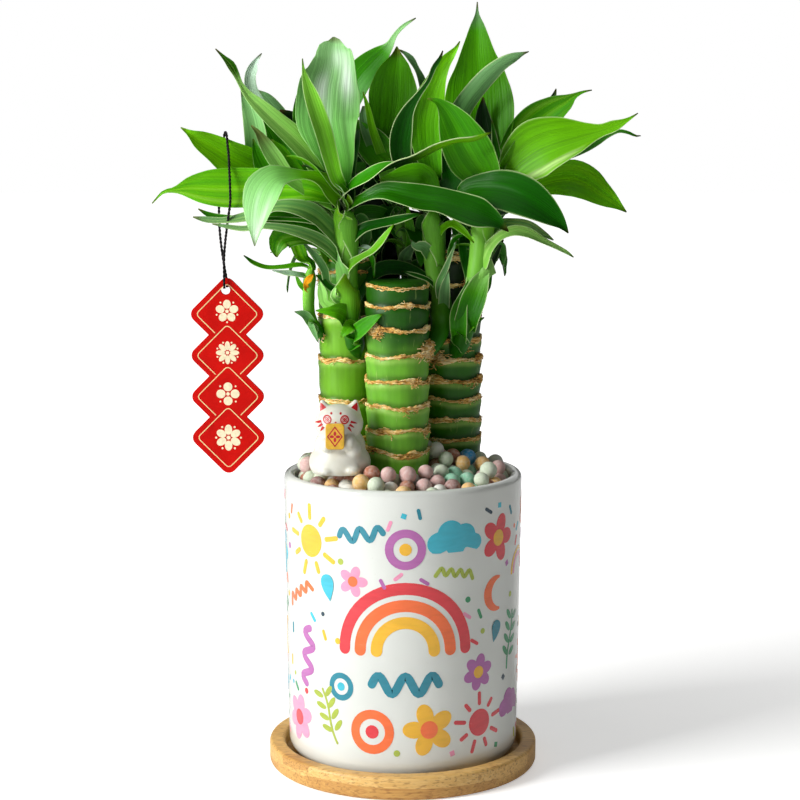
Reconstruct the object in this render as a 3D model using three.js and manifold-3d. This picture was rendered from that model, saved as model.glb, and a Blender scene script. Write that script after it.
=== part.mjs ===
// Lucky bamboo in a round ceramic pot on a turned saucer, with a small sitting cat and a hanging tag.
// Millimetres, +Z up. The origin is the centre of the saucer's underside, and -Y is the front.
import * as THREE from 'three';
import { mergeVertices } from 'three/addons/utils/BufferGeometryUtils.js';
import Module from 'manifold-3d';

const wasm = await Module();
wasm.setup();

// Driving dimensions
const gap = 0.3;
const saucer = { radius: 57, height: 10, recess: 50.4, floor: 4, topEdge: 1.6, footEdge: 2.4 };
const pot = { rim: 50, foot: 48.6, wall: 4.6, top: 125.5, underEdge: 8, footRing: 40, footWidth: 2.2 };
const mix = { top: 112 };
const balls = { radius: 3.25, wallLevel: 125.4, middleLevel: 128.2, sink: 1.2, spacing: 1.8, seed: 11 };
const caneStand = 45;
const ring = { height: 0.9, reach: 1.1, wave: 0.5 };
const blade = { thickness: 0.8, fold: 0.2, root: 4.4, tip: 0.9, narrow: 9, lift: 0.14 };
const seat = { x: -25.2, y: -24, z: 128.8, radius: 12 };
const tag = { x: -72.6, y: -8, top: 208.6, half: 16.3, pitch: 17.2, count: 4, thickness: 1.8, corner: 2.6 };
const tagHole = { x: -73.1, z: 202.3, radius: 1.9 };
const cord = { diameter: 0.9, halfSides: 4, stepLength: 2.7 };

const canes = {
  cane_front: {
    x: -2.3, y: -10, radius: 13.6, top: 206.5, sides: 14,
    rings: [136, 145, 154.8, 165.3, 176, 186.6, 196.3],
  },
  cane_left: { x: -23.4, y: 10, radius: 12, top: 216, sides: 12, rings: [138, 155, 172, 190, 209] },
  cane_right: {
    x: 20.8, y: 16, radius: 12.8, top: 219, sides: 12,
    rings: [137.6, 145.6, 154.5, 162.6, 171.6, 180, 190, 203, 214],
  },
  cane_back: { x: -11, y: 31.3, radius: 10, top: 209, sides: 10, rings: [134, 147, 160, 173, 186, 198] },
};

// Each shoot: the points its stem runs through, its radius, and its leaves.
// A leaf leaves the stem at a share of its length, runs through the points to its tip, is so wide at its
// belly, a share of the way along, and its upper face looks in the given direction.
const shoots = {
  shoot_left_front: {
    stem: [[-17, -3, 176], [-21, -7, 187], [-22.5, -9, 204], [-23, -10, 220], [-23, -10, 236]],
    radius: 3.5,
    leaves: [
      {
        at: 0.92, wide: 20, belly: 0.6, facing: [0.1, -1, 0.5],
        through: [[-31, -15, 246], [-41, -20, 249], [-55, -27, 240], [-59, -32, 221]],
      },
      {
        at: 0.9, wide: 19, belly: 0.5, facing: [0, -1, 0.4],
        through: [[-45, -9, 242], [-72, -5, 242], [-93, -4, 242], [-103, -4, 238]],
      },
      {
        at: 1, wide: 22, belly: 0.45, facing: [0.1, -1, 0.1],
        through: [[-27, -9, 262], [-28, -6, 286], [-28.5, 4, 304.5], [-28, 22, 300]],
      },
      {
        at: 0.96, wide: 9.5, facing: [0.2, -1, 0.2],
        through: [[-29, -13, 258], [-35, -14, 280], [-40, -12, 297]],
      },
      { at: 0.8, through: [[-37, -1, 262], [-41, 2, 278], [-42, 4, 291]], wide: 12, facing: [0, -1, 0.2] },
      {
        at: 0.97, wide: 13, facing: [0.4, -1, 0.4],
        through: [[-38, -3, 254], [-54, 0, 273], [-66, 1, 288], [-76, 1, 300]],
      },
      { at: 0.85, through: [[-45, -10, 255], [-61, -12, 269]], wide: 6, facing: [0.3, -1, 0.4] },
      {
        at: 0.88, wide: 14, facing: [0, -0.8, 0.7],
        through: [[-14, -17, 242], [8, -24, 241], [28, -28, 235], [42, -30, 227]],
      },
      {
        at: 0.93, wide: 13, facing: [-0.3, 0.5, 1],
        through: [[-11, -16, 251], [12, -22, 260], [35, -24, 266.5]],
      },
      { at: 0.5, through: [[-17, -15, 213], [-5, -20, 228]], wide: 5, facing: [-0.4, -1, 0.6] },
      { at: 0.4, through: [[-32, -14, 213], [-41, -16, 221]], wide: 5, facing: [0.3, -1, 0.5] },
      {
        at: 0.6, wide: 7, facing: [0, -0.8, 0.8],
        through: [[-42, -12, 237], [-62, -13, 234], [-85, -12, 232]],
      },
      { at: 0.55, through: [[-38, -8, 226], [-52, -14, 217]], wide: 9, facing: [0, -1, 0.4] },
      {
        at: 0.5, wide: 6, facing: [0, -0.9, 0.6],
        through: [[-44, -16, 229], [-60, -18, 229], [-72, -18, 227]],
      },
      { at: 0.14, through: [[-28, -12, 196], [-35, -14, 193]], wide: 6, facing: [0, -1, 0.5] },
      { at: 0.1, through: [[-22, -14, 188], [-26, -16, 182]], wide: 4, facing: [0, -1, 0.4] },
      { at: 0.16, through: [[-17, -20, 196], [-8, -27, 191]], wide: 5, facing: [-0.3, -1, 0.5] },
      { at: 0.68, through: [[-11, -14, 230], [7, -15, 233]], wide: 8, facing: [0, -0.6, 1] },
    ],
  },
  shoot_left_small: {
    stem: [[-34, 4, 181], [-39, 2, 189], [-39.5, 1, 200], [-38, 0, 212]],
    radius: 2.8,
    leaves: [
      { at: 0.95, through: [[-50, -2, 212], [-65, -4, 215.5]], wide: 4.5, facing: [0, -0.7, 0.8] },
      { at: 0.85, through: [[-46, -4, 209], [-55, -6, 208]], wide: 4, facing: [0, -0.7, 0.8] },
      { at: 0.4, through: [[-43, -2, 201], [-45, -2, 192]], wide: 4, facing: [-0.4, -1, 0.2] },
      { at: 1, through: [[-42, 3, 230], [-49, 5, 246]], wide: 10, facing: [0, -1, 0.2] },
    ],
  },
  shoot_left_back: {
    stem: [[-27, 21, 178], [-31, 26, 190], [-33, 26, 215], [-34, 24, 238]],
    radius: 3.4,
    leaves: [
      {
        at: 0.95, wide: 17, belly: 0.55, facing: [0.1, -1, 0.4],
        through: [[-50, 14, 245], [-72, 5.5, 256], [-91, 1, 268]],
      },
      {
        at: 1, wide: 6.5, belly: 0.7, facing: [0.2, -1, 0.2],
        through: [[-50, 20, 262], [-63.5, 20, 288], [-58, 20, 300]],
      },
      { at: 0.98, through: [[-48, 25, 265], [-61, 27, 285]], wide: 10, facing: [0.2, -1, 0.3] },
      { at: 0.9, through: [[-60, 12, 244], [-65, 13, 258], [-67, 12, 284]], wide: 6, facing: [0, -1, 0.2] },
      { at: 0.9, through: [[-50, 9, 246], [-61, 7, 263]], wide: 8, facing: [0.2, -1, 0.3] },
      { at: 1, through: [[-29, 19, 268], [-16, 15, 291], [5, 12, 313]], wide: 13, facing: [-0.3, -1, 0.3] },
      { at: 0.9, through: [[-45, 42, 255], [-62, 62, 262]], wide: 16, facing: [0.1, -0.3, 1] },
      { at: 0.97, through: [[-32, 45, 268], [-30, 70, 285]], wide: 17, facing: [0, -0.6, 0.8] },
      { at: 0.85, through: [[-55, 38, 243], [-80, 48, 236]], wide: 15, facing: [0, 0.2, 1] },
      { at: 1, through: [[-31, 33, 268], [-29, 40, 295]], wide: 16, facing: [0.2, 1, 0] },
      { at: 0.5, through: [[-45, 34, 219], [-58, 40, 214]], wide: 6, facing: [0, 0.4, 1] },
    ],
  },
  shoot_back: {
    stem: [[-2, 28, 183], [2, 24, 194], [2.5, 18, 206], [0, 15, 220], [-3, 13, 238]],
    radius: 3.2,
    leaves: [
      {
        at: 1, wide: 21, belly: 0.6, facing: [0, -1, 0.15],
        through: [[-5, 11, 262], [-5, 10, 282], [-2, 9, 302]],
      },
      { at: 0.95, through: [[11, 15, 268], [8, 14, 289], [-1, 12, 301]], wide: 7, facing: [0, -1, 0.2] },
      { at: 0.9, through: [[-9, 7, 256], [-22, 8, 274]], wide: 14, facing: [0, -1, 0.3] },
      { at: 0.97, through: [[-12, 6, 262], [-17, 7, 284]], wide: 8, facing: [0, -1, 0.2] },
      { at: 0.95, through: [[-3, 42, 268], [0, 70, 290]], wide: 18, facing: [0, -0.5, 0.8] },
      { at: 0.9, through: [[10, 46, 258], [22, 76, 266]], wide: 17, facing: [0, -0.2, 1] },
      { at: 0.45, through: [[1, 10, 215], [5, 9, 223]], wide: 5, facing: [0, -1, 0.2] },
      { at: 0.8, through: [[-12, 9, 234], [-20, 5, 231]], wide: 8, facing: [0, -1, 0.6] },
    ],
  },
  shoot_centre: {
    stem: [[10, -2, 175], [15.5, 1, 185], [16, 3, 197], [13.5, 5, 212], [12, 5, 236]],
    radius: 3.7,
    leaves: [
      {
        at: 1, wide: 15.5, belly: 0.5, facing: [0.1, -1, 0.2],
        through: [[9, -2, 262], [11, -5, 285], [23, -6, 303]],
      },
      { at: 0.95, through: [[0, -4, 262], [7, -8, 283], [15, -9, 299]], wide: 9, facing: [0.6, -1, 0.2] },
      { at: 0.9, through: [[6, -6, 250], [-10, -8, 246]], wide: 11, facing: [0, -0.8, 0.6] },
      {
        at: 0.92, wide: 21, belly: 0.5, facing: [0.1, -0.9, 0.7],
        through: [[27, -16, 242.5], [47, -21, 241.5], [67, -24, 225]],
      },
      {
        at: 0.97, wide: 9, belly: 0.6, facing: [0, 1, 0.2],
        through: [[20, 2, 260], [33, -3, 285], [50, -6, 299.5]],
      },
      { at: 0.85, through: [[19, 8, 246], [26, 10, 262]], wide: 8, facing: [0, -1, 0.2] },
      { at: 0.75, through: [[20, -5, 230], [28, -11, 221]], wide: 5, facing: [0, -1, 0.5] },
      { at: 0.42, through: [[9, 1, 206], [0, -1, 209]], wide: 3.4, facing: [0, -1, 0.6] },
    ],
  },
  shoot_right: {
    stem: [[22, 2, 175], [26, -1, 186], [29, -2, 198], [33, -2, 213], [35, -1, 226], [35, 0, 238]],
    radius: 4,
    leaves: [
      {
        at: 0.97, wide: 24, belly: 0.35, facing: [0, -0.9, 0.5],
        through: [[50, -6, 256], [75, -9, 263], [86, -9, 268], [97, -9, 274.5]],
      },
      {
        at: 0.9, wide: 20, belly: 0.65, facing: [0.1, -1, 0.5],
        through: [[58, 3, 244.5], [74, 1, 243], [93, -2, 233.5]],
      },
      {
        at: 0.95, wide: 14, belly: 0.6, facing: [0, -0.9, 0.5],
        through: [[47, 6, 262], [60, 5, 273], [78, 4, 284]],
      },
      { at: 0.97, through: [[51, 14, 264], [64, 15, 284.5]], wide: 8, facing: [0, -1, 0.3] },
      {
        at: 1, wide: 28, belly: 0.5, facing: [0, -1, 0.15],
        through: [[36, 9, 252], [32, 11, 280], [31, 11, 302], [31, 11, 320]],
      },
      {
        at: 0.9, wide: 21, belly: 0.55, facing: [-0.2, -1, 0.3],
        through: [[32, -1, 250], [24, -8, 263], [19, -11, 274], [10, -12, 280.5]],
      },
      { at: 0.92, through: [[38, 4, 258], [33, 4, 281]], wide: 8, facing: [0, -1, 0] },
      { at: 0.62, through: [[45, -6, 228], [56, -9, 226], [70, -11, 215.5]], wide: 8, facing: [0, 0.5, 1] },
      { at: 0.72, through: [[48, 0, 231], [62, -3, 221.5]], wide: 7, facing: [0, 0.5, 1] },
      { at: 0.93, through: [[62, 9, 258], [84, 8, 266], [99, 6, 264.5]], wide: 12, facing: [0, -0.8, 0.7] },
      { at: 0.4, through: [[26, 3, 219], [25, 6, 231]], wide: 6, facing: [0, -1, 0] },
      { at: 0.35, through: [[37, 2, 210], [41, 3, 221]], wide: 4, facing: [0.2, -1, 0] },
      { at: 0.08, through: [[28, -5, 186], [34, -6, 190]], wide: 3.6, facing: [0, -1, 0.6] },
      { at: 0.9, through: [[60, 26, 254], [82, 46, 262]], wide: 17, facing: [0.1, -0.2, 1] },
      { at: 0.97, through: [[48, 32, 262], [60, 58, 269]], wide: 16, facing: [-0.2, -0.4, 0.8] },
      { at: 0.85, through: [[54, 24, 238], [70, 44, 227]], wide: 13, facing: [0.2, 0.2, 1] },
    ],
  },
  shoot_right_back: {
    stem: [[27, 28, 180], [30, 32, 190], [29, 34, 212], [26, 35, 236]],
    radius: 3.3,
    leaves: [
      { at: 1, through: [[27, 46, 266], [27, 56, 294]], wide: 16, facing: [0, 1, -0.2] },
      { at: 0.9, through: [[40, 58, 252], [52, 82, 256]], wide: 16, facing: [0, -0.1, 1] },
      { at: 0.9, through: [[17, 58, 245], [8, 84, 240]], wide: 15, facing: [0, 0.1, 1] },
      { at: 0.97, through: [[35, 38, 266], [37, 42, 289]], wide: 16, facing: [-0.4, 1, 0] },
      { at: 0.6, through: [[48, 54, 235], [62, 70, 231]], wide: 9, facing: [0.2, 0.3, 1] },
    ],
  },
};

// The cord, from the front of the tag's hole up over a leaf and down behind it to the hole again
const cordRoute = [
  [-73.5, -10.1, 203], [-73.5, -10.2, 206], [-73.5, -9.9, 210], [-73.5, -9.6, 215], [-73, -10, 221],
  [-71.9, -12.9, 228], [-70.9, -14.9, 233.6], [-70.4, -12.6, 238.5], [-70.7, -9, 244], [-71.2, -5.4, 251],
  [-71.8, -0.6, 257], [-72.6, 3.2, 262], [-73.2, 6, 265.9], [-74, 8.6, 266.5], [-74.8, 10.2, 263.4],
  [-75.6, 9.4, 255], [-76.2, 6, 247], [-76.2, 1.4, 238.5], [-75.8, -3.2, 229], [-74.9, -6.4, 221],
  [-74.1, -6.8, 215], [-73.4, -6.2, 210], [-72.8, -5.7, 206], [-72.7, -6.2, 203.2],
];

const vector = (p) => new THREE.Vector3(...p);

// Seeded draw of numbers between 0 and 1
function seededDraw(seed) {
  let state = seed;
  return () => {
    state = (state * 1664525 + 1013904223) % 4294967296;
    return state / 4294967296;
  };
}

// Solids and meshes
function solidOf(geometry) {
  const plain = geometry.clone();
  plain.deleteAttribute('normal');
  plain.deleteAttribute('uv');
  const merged = mergeVertices(plain, 1e-4);
  return new wasm.Manifold(
    new wasm.Mesh({
      numProp: 3,
      vertProperties: new Float32Array(merged.attributes.position.array),
      triVerts: new Uint32Array(merged.index.array),
    }),
  );
}

function largestBody(solid) {
  return solid.decompose().reduce((best, body) => (body.volume() > best.volume() ? body : best));
}

function geometryOf(solid) {
  const made = solid.getMesh();
  const geometry = new THREE.BufferGeometry();
  geometry.setAttribute('position', new THREE.BufferAttribute(new Float32Array(made.vertProperties), 3));
  geometry.setIndex(new THREE.BufferAttribute(new Uint32Array(made.triVerts), 1));
  geometry.computeVertexNormals();
  return geometry;
}

function joined(solids) {
  return solids.reduce((sum, solid) => sum.add(solid));
}

// A profile of [radius, height] points turned round the vertical axis
function turned(profile, sides) {
  const points = profile.map(([r, z]) => new THREE.Vector2(r, z));
  return new THREE.LatheGeometry(points, sides).rotateX(Math.PI / 2);
}

function cylinder(x, y, bottom, top, radius, sides) {
  return turned([[0, bottom], [radius, bottom], [radius, top], [0, top]], sides).translate(x, y, 0);
}

// Points of an arc in a profile, from one angle to another in degrees
function arc(r, z, radius, from, to, steps) {
  return Array.from({ length: steps + 1 }, (_, i) => {
    const angle = THREE.MathUtils.degToRad(from + ((to - from) * i) / steps);
    return [r + radius * Math.cos(angle), z + radius * Math.sin(angle)];
  });
}

// A skin over rings of points that all run counter-clockwise seen from the far end.
// Faces past the index flipFrom are split the other way, so that both faces of a blade are split alike.
function loft(rings, capTriangles, flipFrom) {
  const n = rings[0].length;
  const positions = rings.flat().flatMap((p) => [p.x, p.y, p.z]);
  const index = [];
  for (let i = 0; i + 1 < rings.length; i++) {
    for (let j = 0; j < n; j++) {
      const a = i * n + j;
      const b = i * n + ((j + 1) % n);
      if (j < flipFrom) index.push(a, b, b + n, a, b + n, a + n);
      else index.push(a, b, a + n, b, b + n, a + n);
    }
  }
  const last = (rings.length - 1) * n;
  for (const [a, b, c] of capTriangles) {
    index.push(a, c, b);
    index.push(last + a, last + b, last + c);
  }
  const geometry = new THREE.BufferGeometry();
  geometry.setAttribute('position', new THREE.Float32BufferAttribute(positions, 3));
  geometry.setIndex(index);
  return geometry;
}

// Stems and leaves
function stemGeometry(shoot, curve) {
  const sides = 6;
  const steps = 5;
  const side = new THREE.Vector3(1, 0, 0);
  const rings = [];
  for (let i = 0; i <= steps; i++) {
    const along = i / steps;
    const centre = curve.getPointAt(along);
    const tangent = curve.getTangentAt(along);
    const v = new THREE.Vector3().crossVectors(tangent, side).normalize();
    const u = new THREE.Vector3().crossVectors(v, tangent);
    const radius = shoot.radius * (1 - 0.25 * along ** 3);
    rings.push(
      Array.from({ length: sides }, (_, j) => {
        const angle = (2 * Math.PI * j) / sides;
        const out = u.clone().multiplyScalar(Math.cos(angle)).addScaledVector(v, Math.sin(angle));
        return centre.clone().addScaledVector(out, radius);
      }),
    );
  }
  const cap = Array.from({ length: sides - 2 }, (_, j) => [0, j + 1, j + 2]);
  return loft(rings, cap, sides);
}

// The width of a leaf at a share of its length: a clasping root, a belly and a long drawn tip
function bladeWidth(leaf, along) {
  const belly = leaf.belly ?? 0.4;
  const root = Math.min(leaf.wide, blade.root);
  if (along < belly) {
    return root + (leaf.wide - root) * Math.sin(((along / belly) * Math.PI) / 2) ** 1.4;
  }
  const rest = (along - belly) / (1 - belly);
  return Math.max(blade.tip, leaf.wide * Math.cos((rest * Math.PI) / 2) ** 1.3);
}

const broadStations = [0, 0.2, 0.42, 0.64, 0.84, 1];
const narrowStations = [0, 0.35, 0.7, 1];
const bladeCap = [[0, 1, 4], [0, 4, 5], [1, 2, 3], [1, 3, 4]];

function bladeGeometry(leaf, stemCurve) {
  const root = stemCurve.getPointAt(leaf.at);
  const first = vector(leaf.through[0]);
  const reach = first.distanceTo(root);
  const lift = root.clone().addScaledVector(stemCurve.getTangentAt(leaf.at), blade.lift * reach);
  lift.addScaledVector(first.clone().sub(root).normalize(), 0.2 * reach);
  const midrib = new THREE.CatmullRomCurve3([root, lift, ...leaf.through.map(vector)], false, 'centripetal');
  const stations = leaf.wide > blade.narrow ? broadStations : narrowStations;
  const rings = stations.map((along) => {
    const centre = midrib.getPointAt(along);
    const tangent = midrib.getTangentAt(along);
    const up = vector(leaf.facing);
    up.addScaledVector(tangent, -up.dot(tangent)).normalize();
    const across = new THREE.Vector3().crossVectors(up, tangent);
    const half = bladeWidth(leaf, along) / 2;
    const at = (side, level) =>
      centre.clone().addScaledVector(across, side * half)
        .addScaledVector(up, Math.abs(side) * half * blade.fold + level * blade.thickness);
    return [at(1, 0.5), at(0, 0.5), at(-1, 0.5), at(-1, -0.5), at(0, -0.5), at(1, -0.5)];
  });
  return loft(rings, bladeCap, 3);
}

function shootSolid(shoot) {
  const curve = new THREE.CatmullRomCurve3(shoot.stem.map(vector), false, 'centripetal');
  const blades = shoot.leaves.map((leaf) => solidOf(bladeGeometry(leaf, curve)));
  let solid = joined([solidOf(stemGeometry(shoot, curve)), ...blades]);
  for (const cane of Object.values(canes)) {
    const clear = cane.radius + ring.height + gap;
    solid = solid.subtract(solidOf(cylinder(cane.x, cane.y, 100, cane.top + gap, clear, 32)));
  }
  return largestBody(solid);
}

// Canes: a cut stem with a raised fibrous ring at each node, each ring wavering a little in height
function caneGeometry(cane) {
  const profile = [[0, caneStand], [cane.radius - 0.6, caneStand], [cane.radius, caneStand + 1]];
  for (const z of cane.rings) {
    profile.push([cane.radius, z - ring.reach]);
    profile.push([cane.radius + ring.height, z - 0.2]);
    profile.push([cane.radius + 0.3, z + ring.reach]);
  }
  profile.push([cane.radius, cane.top - 1], [cane.radius - 1.2, cane.top], [0, cane.top]);
  const geometry = turned(profile, cane.sides);
  const position = geometry.attributes.position;
  for (let i = 0; i < position.count; i++) {
    const z = position.getZ(i);
    if (z < cane.rings[0] - 2 || z > cane.top - 2) continue;
    const angle = Math.atan2(position.getY(i), position.getX(i));
    position.setZ(i, z + ring.wave * Math.sin(2 * angle + z));
  }
  return geometry.translate(cane.x, cane.y, 0);
}

// Saucer and pot
function saucerGeometry() {
  const { radius, height, recess, floor, topEdge, footEdge } = saucer;
  return turned(
    [
      [0, 0],
      ...arc(radius - footEdge, footEdge, footEdge, -90, 0, 2),
      ...arc(radius - topEdge, height - topEdge, topEdge, 0, 90, 2),
      ...arc(recess + topEdge, height - topEdge, topEdge, 90, 180, 1),
      [recess, floor],
      [0, floor],
    ],
    40,
  );
}

function potGeometry() {
  const { rim, foot, wall, top, underEdge, footRing, footWidth } = pot;
  const stand = saucer.floor;
  const lip = wall / 2;
  return turned(
    [
      [0, stand + 1.2],
      [footRing - footWidth, stand + 1.2],
      [footRing - footWidth, stand],
      [foot - underEdge, stand],
      ...arc(foot - underEdge, stand + underEdge, underEdge, -80, 0, 3),
      ...arc(rim - lip, top - lip, lip, 0, 180, 4),
      [foot - wall, stand + underEdge],
      [foot - wall - 3, stand + wall],
      [0, stand + wall],
    ],
    40,
  );
}

// The pot's inner radius at a height, with the gap taken off
function insideRadius(z) {
  const low = saucer.floor + pot.underEdge;
  const share = (z - low) / (pot.top - pot.wall / 2 - low);
  return pot.foot - pot.wall + share * (pot.rim - pot.foot) - gap;
}

// Plain holes for the canes, whose sides stand the gap off at their nearest
function withoutCanes(solid) {
  const sides = 16;
  let cut = solid;
  for (const cane of Object.values(canes)) {
    const clear = (cane.radius + gap) / Math.cos(Math.PI / sides);
    cut = cut.subtract(solidOf(cylinder(cane.x, cane.y, caneStand, pot.top + 10, clear, sides)));
  }
  return cut;
}

function mixSolid() {
  const low = saucer.floor + pot.wall;
  const corner = saucer.floor + pot.underEdge;
  const profile = [
    [0, low], [insideRadius(corner) - 3.2, low], [insideRadius(corner), corner + 0.4],
    [insideRadius(mix.top), mix.top], [0, mix.top],
  ];
  return withoutCanes(solidOf(turned(profile, 32)));
}

// The level of the balls' centres, mounded towards the middle and lower under the sitting cat
function ballLevel(x, y) {
  const share = Math.hypot(x, y) / insideRadius(pot.top);
  const mound = balls.wallLevel + (balls.middleLevel - balls.wallLevel) * (1 - share ** 2);
  const underCat = Math.hypot(x - seat.x, y - seat.y) < seat.radius;
  return underCat ? Math.min(mound, seat.z - gap - balls.radius) : mound;
}

function ballsSolid() {
  const draw = seededDraw(balls.seed);
  const wall = insideRadius(mix.top);
  const mound = balls.middleLevel - balls.wallLevel;
  const bedTop = (share) => balls.wallLevel - balls.sink + mound * (1 - share ** 2);
  const bed = [[0, mix.top], [wall, mix.top], [wall, bedTop(1)], [wall / 2, bedTop(0.5)], [0, bedTop(0)]];
  const pitch = 2 * balls.radius + balls.spacing;
  const solids = [solidOf(turned(bed, 24))];
  for (let row = -8; row <= 8; row++) {
    for (let column = -8; column <= 8; column++) {
      const x = (column + (row % 2 ? 0.5 : 0)) * pitch + (draw() - 0.5);
      const y = row * pitch * 0.87 + (draw() - 0.5);
      const lift = (draw() - 0.6) * 1.6;
      const turn = draw() * Math.PI;
      const inCane = Object.values(canes).some((c) => Math.hypot(x - c.x, y - c.y) < c.radius + 2);
      if (inCane || Math.hypot(x, y) > wall - balls.radius) continue;
      const underCat = Math.hypot(x - seat.x, y - seat.y) < seat.radius + 1;
      const ball = new THREE.IcosahedronGeometry(balls.radius, 0).rotateZ(turn).rotateX(turn);
      ball.translate(x, y, ballLevel(x, y) + (underCat ? 0 : lift));
      solids.push(solidOf(ball));
    }
  }
  return largestBody(withoutCanes(joined(solids)));
}

// The sitting cat: a round body, a wide head, two ears, two paws and a foot
function ellipsoid(centre, radii, sides, bands) {
  return new THREE.SphereGeometry(1, sides, bands).rotateX(Math.PI / 2).scale(...radii).translate(...centre);
}

const plaque = { width: 7.8, height: 10.8, thickness: 1.6, x: -1.3, y: -10.8, z: 14.4 };

function catSolid() {
  const pieces = [
    ellipsoid([-0.9, 0, 4.8], [12.5, 10.6, 11.4], 12, 8),
    ellipsoid([-1.5, -1, 20.2], [9.6, 7.8, 7.6], 12, 7),
    ellipsoid([-5.8, -8.6, 13], [2.1, 2.6, 2.2], 6, 4),
    ellipsoid([3.6, -8.8, 12.6], [2.2, 2.6, 2.2], 6, 4),
    ellipsoid([6, -7.6, 2.6], [3.2, 3, 2.4], 6, 4),
    ellipsoid([-5.4, -7.8, 2.4], [3.2, 3, 2.4], 6, 4),
    ellipsoid([2, 9.6, 4.6], [2.6, 2.6, 2.6], 6, 4),
  ];
  for (const side of [-1, 1]) {
    const ear = new THREE.ConeGeometry(3.1, 6.4, 4).rotateX(Math.PI / 2).scale(1, 0.7, 1);
    pieces.push(ear.rotateY(side * 0.3).translate(side * 6.2 - 1.3, -0.6, 26.6));
  }
  const belowSeat = cylinder(0, 0, -20, 0, 30, 12);
  const plaqueSpace = plaqueGeometry(gap);
  const whole = joined(pieces.map(solidOf)).subtract(solidOf(belowSeat)).subtract(solidOf(plaqueSpace));
  return largestBody(whole);
}

// A thin upright plaque with round corners, grown on every side by the given amount
function plaqueGeometry(grow) {
  const w = plaque.width / 2 + grow;
  const h = plaque.height / 2 + grow;
  const r = 1.4 + grow;
  const shape = new THREE.Shape();
  shape.absarc(w - r, h - r, r, 0, Math.PI / 2, false);
  shape.absarc(r - w, h - r, r, Math.PI / 2, Math.PI, false);
  shape.absarc(r - w, r - h, r, Math.PI, 1.5 * Math.PI, false);
  shape.absarc(w - r, r - h, r, 1.5 * Math.PI, 2 * Math.PI, false);
  const depth = plaque.thickness + 2 * grow;
  const flat = new THREE.ExtrudeGeometry(shape, { depth, bevelEnabled: false, curveSegments: 2 });
  return flat.translate(0, 0, -depth / 2).rotateX(Math.PI / 2).translate(plaque.x, plaque.y, plaque.z);
}

// The tag: overlapping square plates on their corners, with round corners and a hole near the top
function tagSolid() {
  const side = (tag.half * Math.SQRT2) / 2;
  const r = tag.corner;
  const square = new THREE.Shape();
  square.absarc(side - r, side - r, r, 0, Math.PI / 2, false);
  square.absarc(r - side, side - r, r, Math.PI / 2, Math.PI, false);
  square.absarc(r - side, r - side, r, Math.PI, 1.5 * Math.PI, false);
  square.absarc(side - r, r - side, r, 1.5 * Math.PI, 2 * Math.PI, false);
  const plates = [];
  for (let i = 0; i < tag.count; i++) {
    const plate = new THREE.ExtrudeGeometry(square, {
      depth: tag.thickness, bevelEnabled: false, curveSegments: 2,
    });
    plate.rotateZ(Math.PI / 4).translate(0, 0, -tag.thickness / 2).rotateX(Math.PI / 2);
    plates.push(solidOf(plate.translate(tag.x, tag.y, tag.top - tag.half - i * tag.pitch)));
  }
  const bore = new THREE.CylinderGeometry(tagHole.radius, tagHole.radius, 10, 16);
  bore.translate(tagHole.x, tag.y, tagHole.z);
  return joined(plates).subtract(solidOf(bore));
}

function cordGeometry() {
  const path = new THREE.CatmullRomCurve3(cordRoute.map(vector), false, 'centripetal');
  const section = new THREE.Shape();
  section.absarc(0, 0, cord.diameter / 2, 0, 2 * Math.PI, false);
  return new THREE.ExtrudeGeometry(section, {
    extrudePath: path,
    steps: Math.round(path.getLength() / cord.stepLength),
    curveSegments: cord.halfSides,
  });
}

// Materials
function finish(color, roughness, metalness = 0) {
  return new THREE.MeshStandardMaterial({ color, roughness, metalness });
}

const finishes = {
  wood: finish(0xc9a269, 0.6),
  glaze: finish(0xe9ebe6, 0.22),
  soil: finish(0x5b4536, 0.95),
  clay: finish(0xd9d8ca, 0.85),
  cane: finish(0x5d9c2c, 0.45),
  leaf: finish(0x4f9d1f, 0.4),
  resin: finish(0xf1efe9, 0.4),
  gold: finish(0xe8b23c, 0.4, 0.4),
  lacquer: finish(0xcf1d17, 0.4),
  twine: finish(0x141414, 0.8),
};

const plant = new THREE.Group();

function addMesh(parent, name, geometry, material) {
  const mesh = new THREE.Mesh(geometry, material);
  mesh.name = name;
  parent.add(mesh);
  return mesh;
}

addMesh(plant, 'saucer', saucerGeometry(), finishes.wood);
addMesh(plant, 'pot', potGeometry(), finishes.glaze);
addMesh(plant, 'growing_mix', geometryOf(mixSolid()), finishes.soil);
addMesh(plant, 'clay_balls', geometryOf(ballsSolid()), finishes.clay);
for (const [name, cane] of Object.entries(canes)) {
  addMesh(plant, name, caneGeometry(cane), finishes.cane);
}
for (const [name, shoot] of Object.entries(shoots)) {
  addMesh(plant, name, geometryOf(shootSolid(shoot)), finishes.leaf);
}

const figure = new THREE.Group();
figure.position.set(seat.x, seat.y, seat.z);
plant.add(figure);
addMesh(figure, 'cat', geometryOf(catSolid()), finishes.resin);
addMesh(figure, 'plaque', plaqueGeometry(0), finishes.gold);

addMesh(plant, 'tag', geometryOf(tagSolid()), finishes.lacquer);
addMesh(plant, 'tag_cord', cordGeometry(), finishes.twine);

export default plant;
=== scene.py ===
import math
import random

import bmesh
import bpy
import numpy as np
from mathutils import Matrix, Vector, noise
from mathutils.bvhtree import BVHTree


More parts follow.
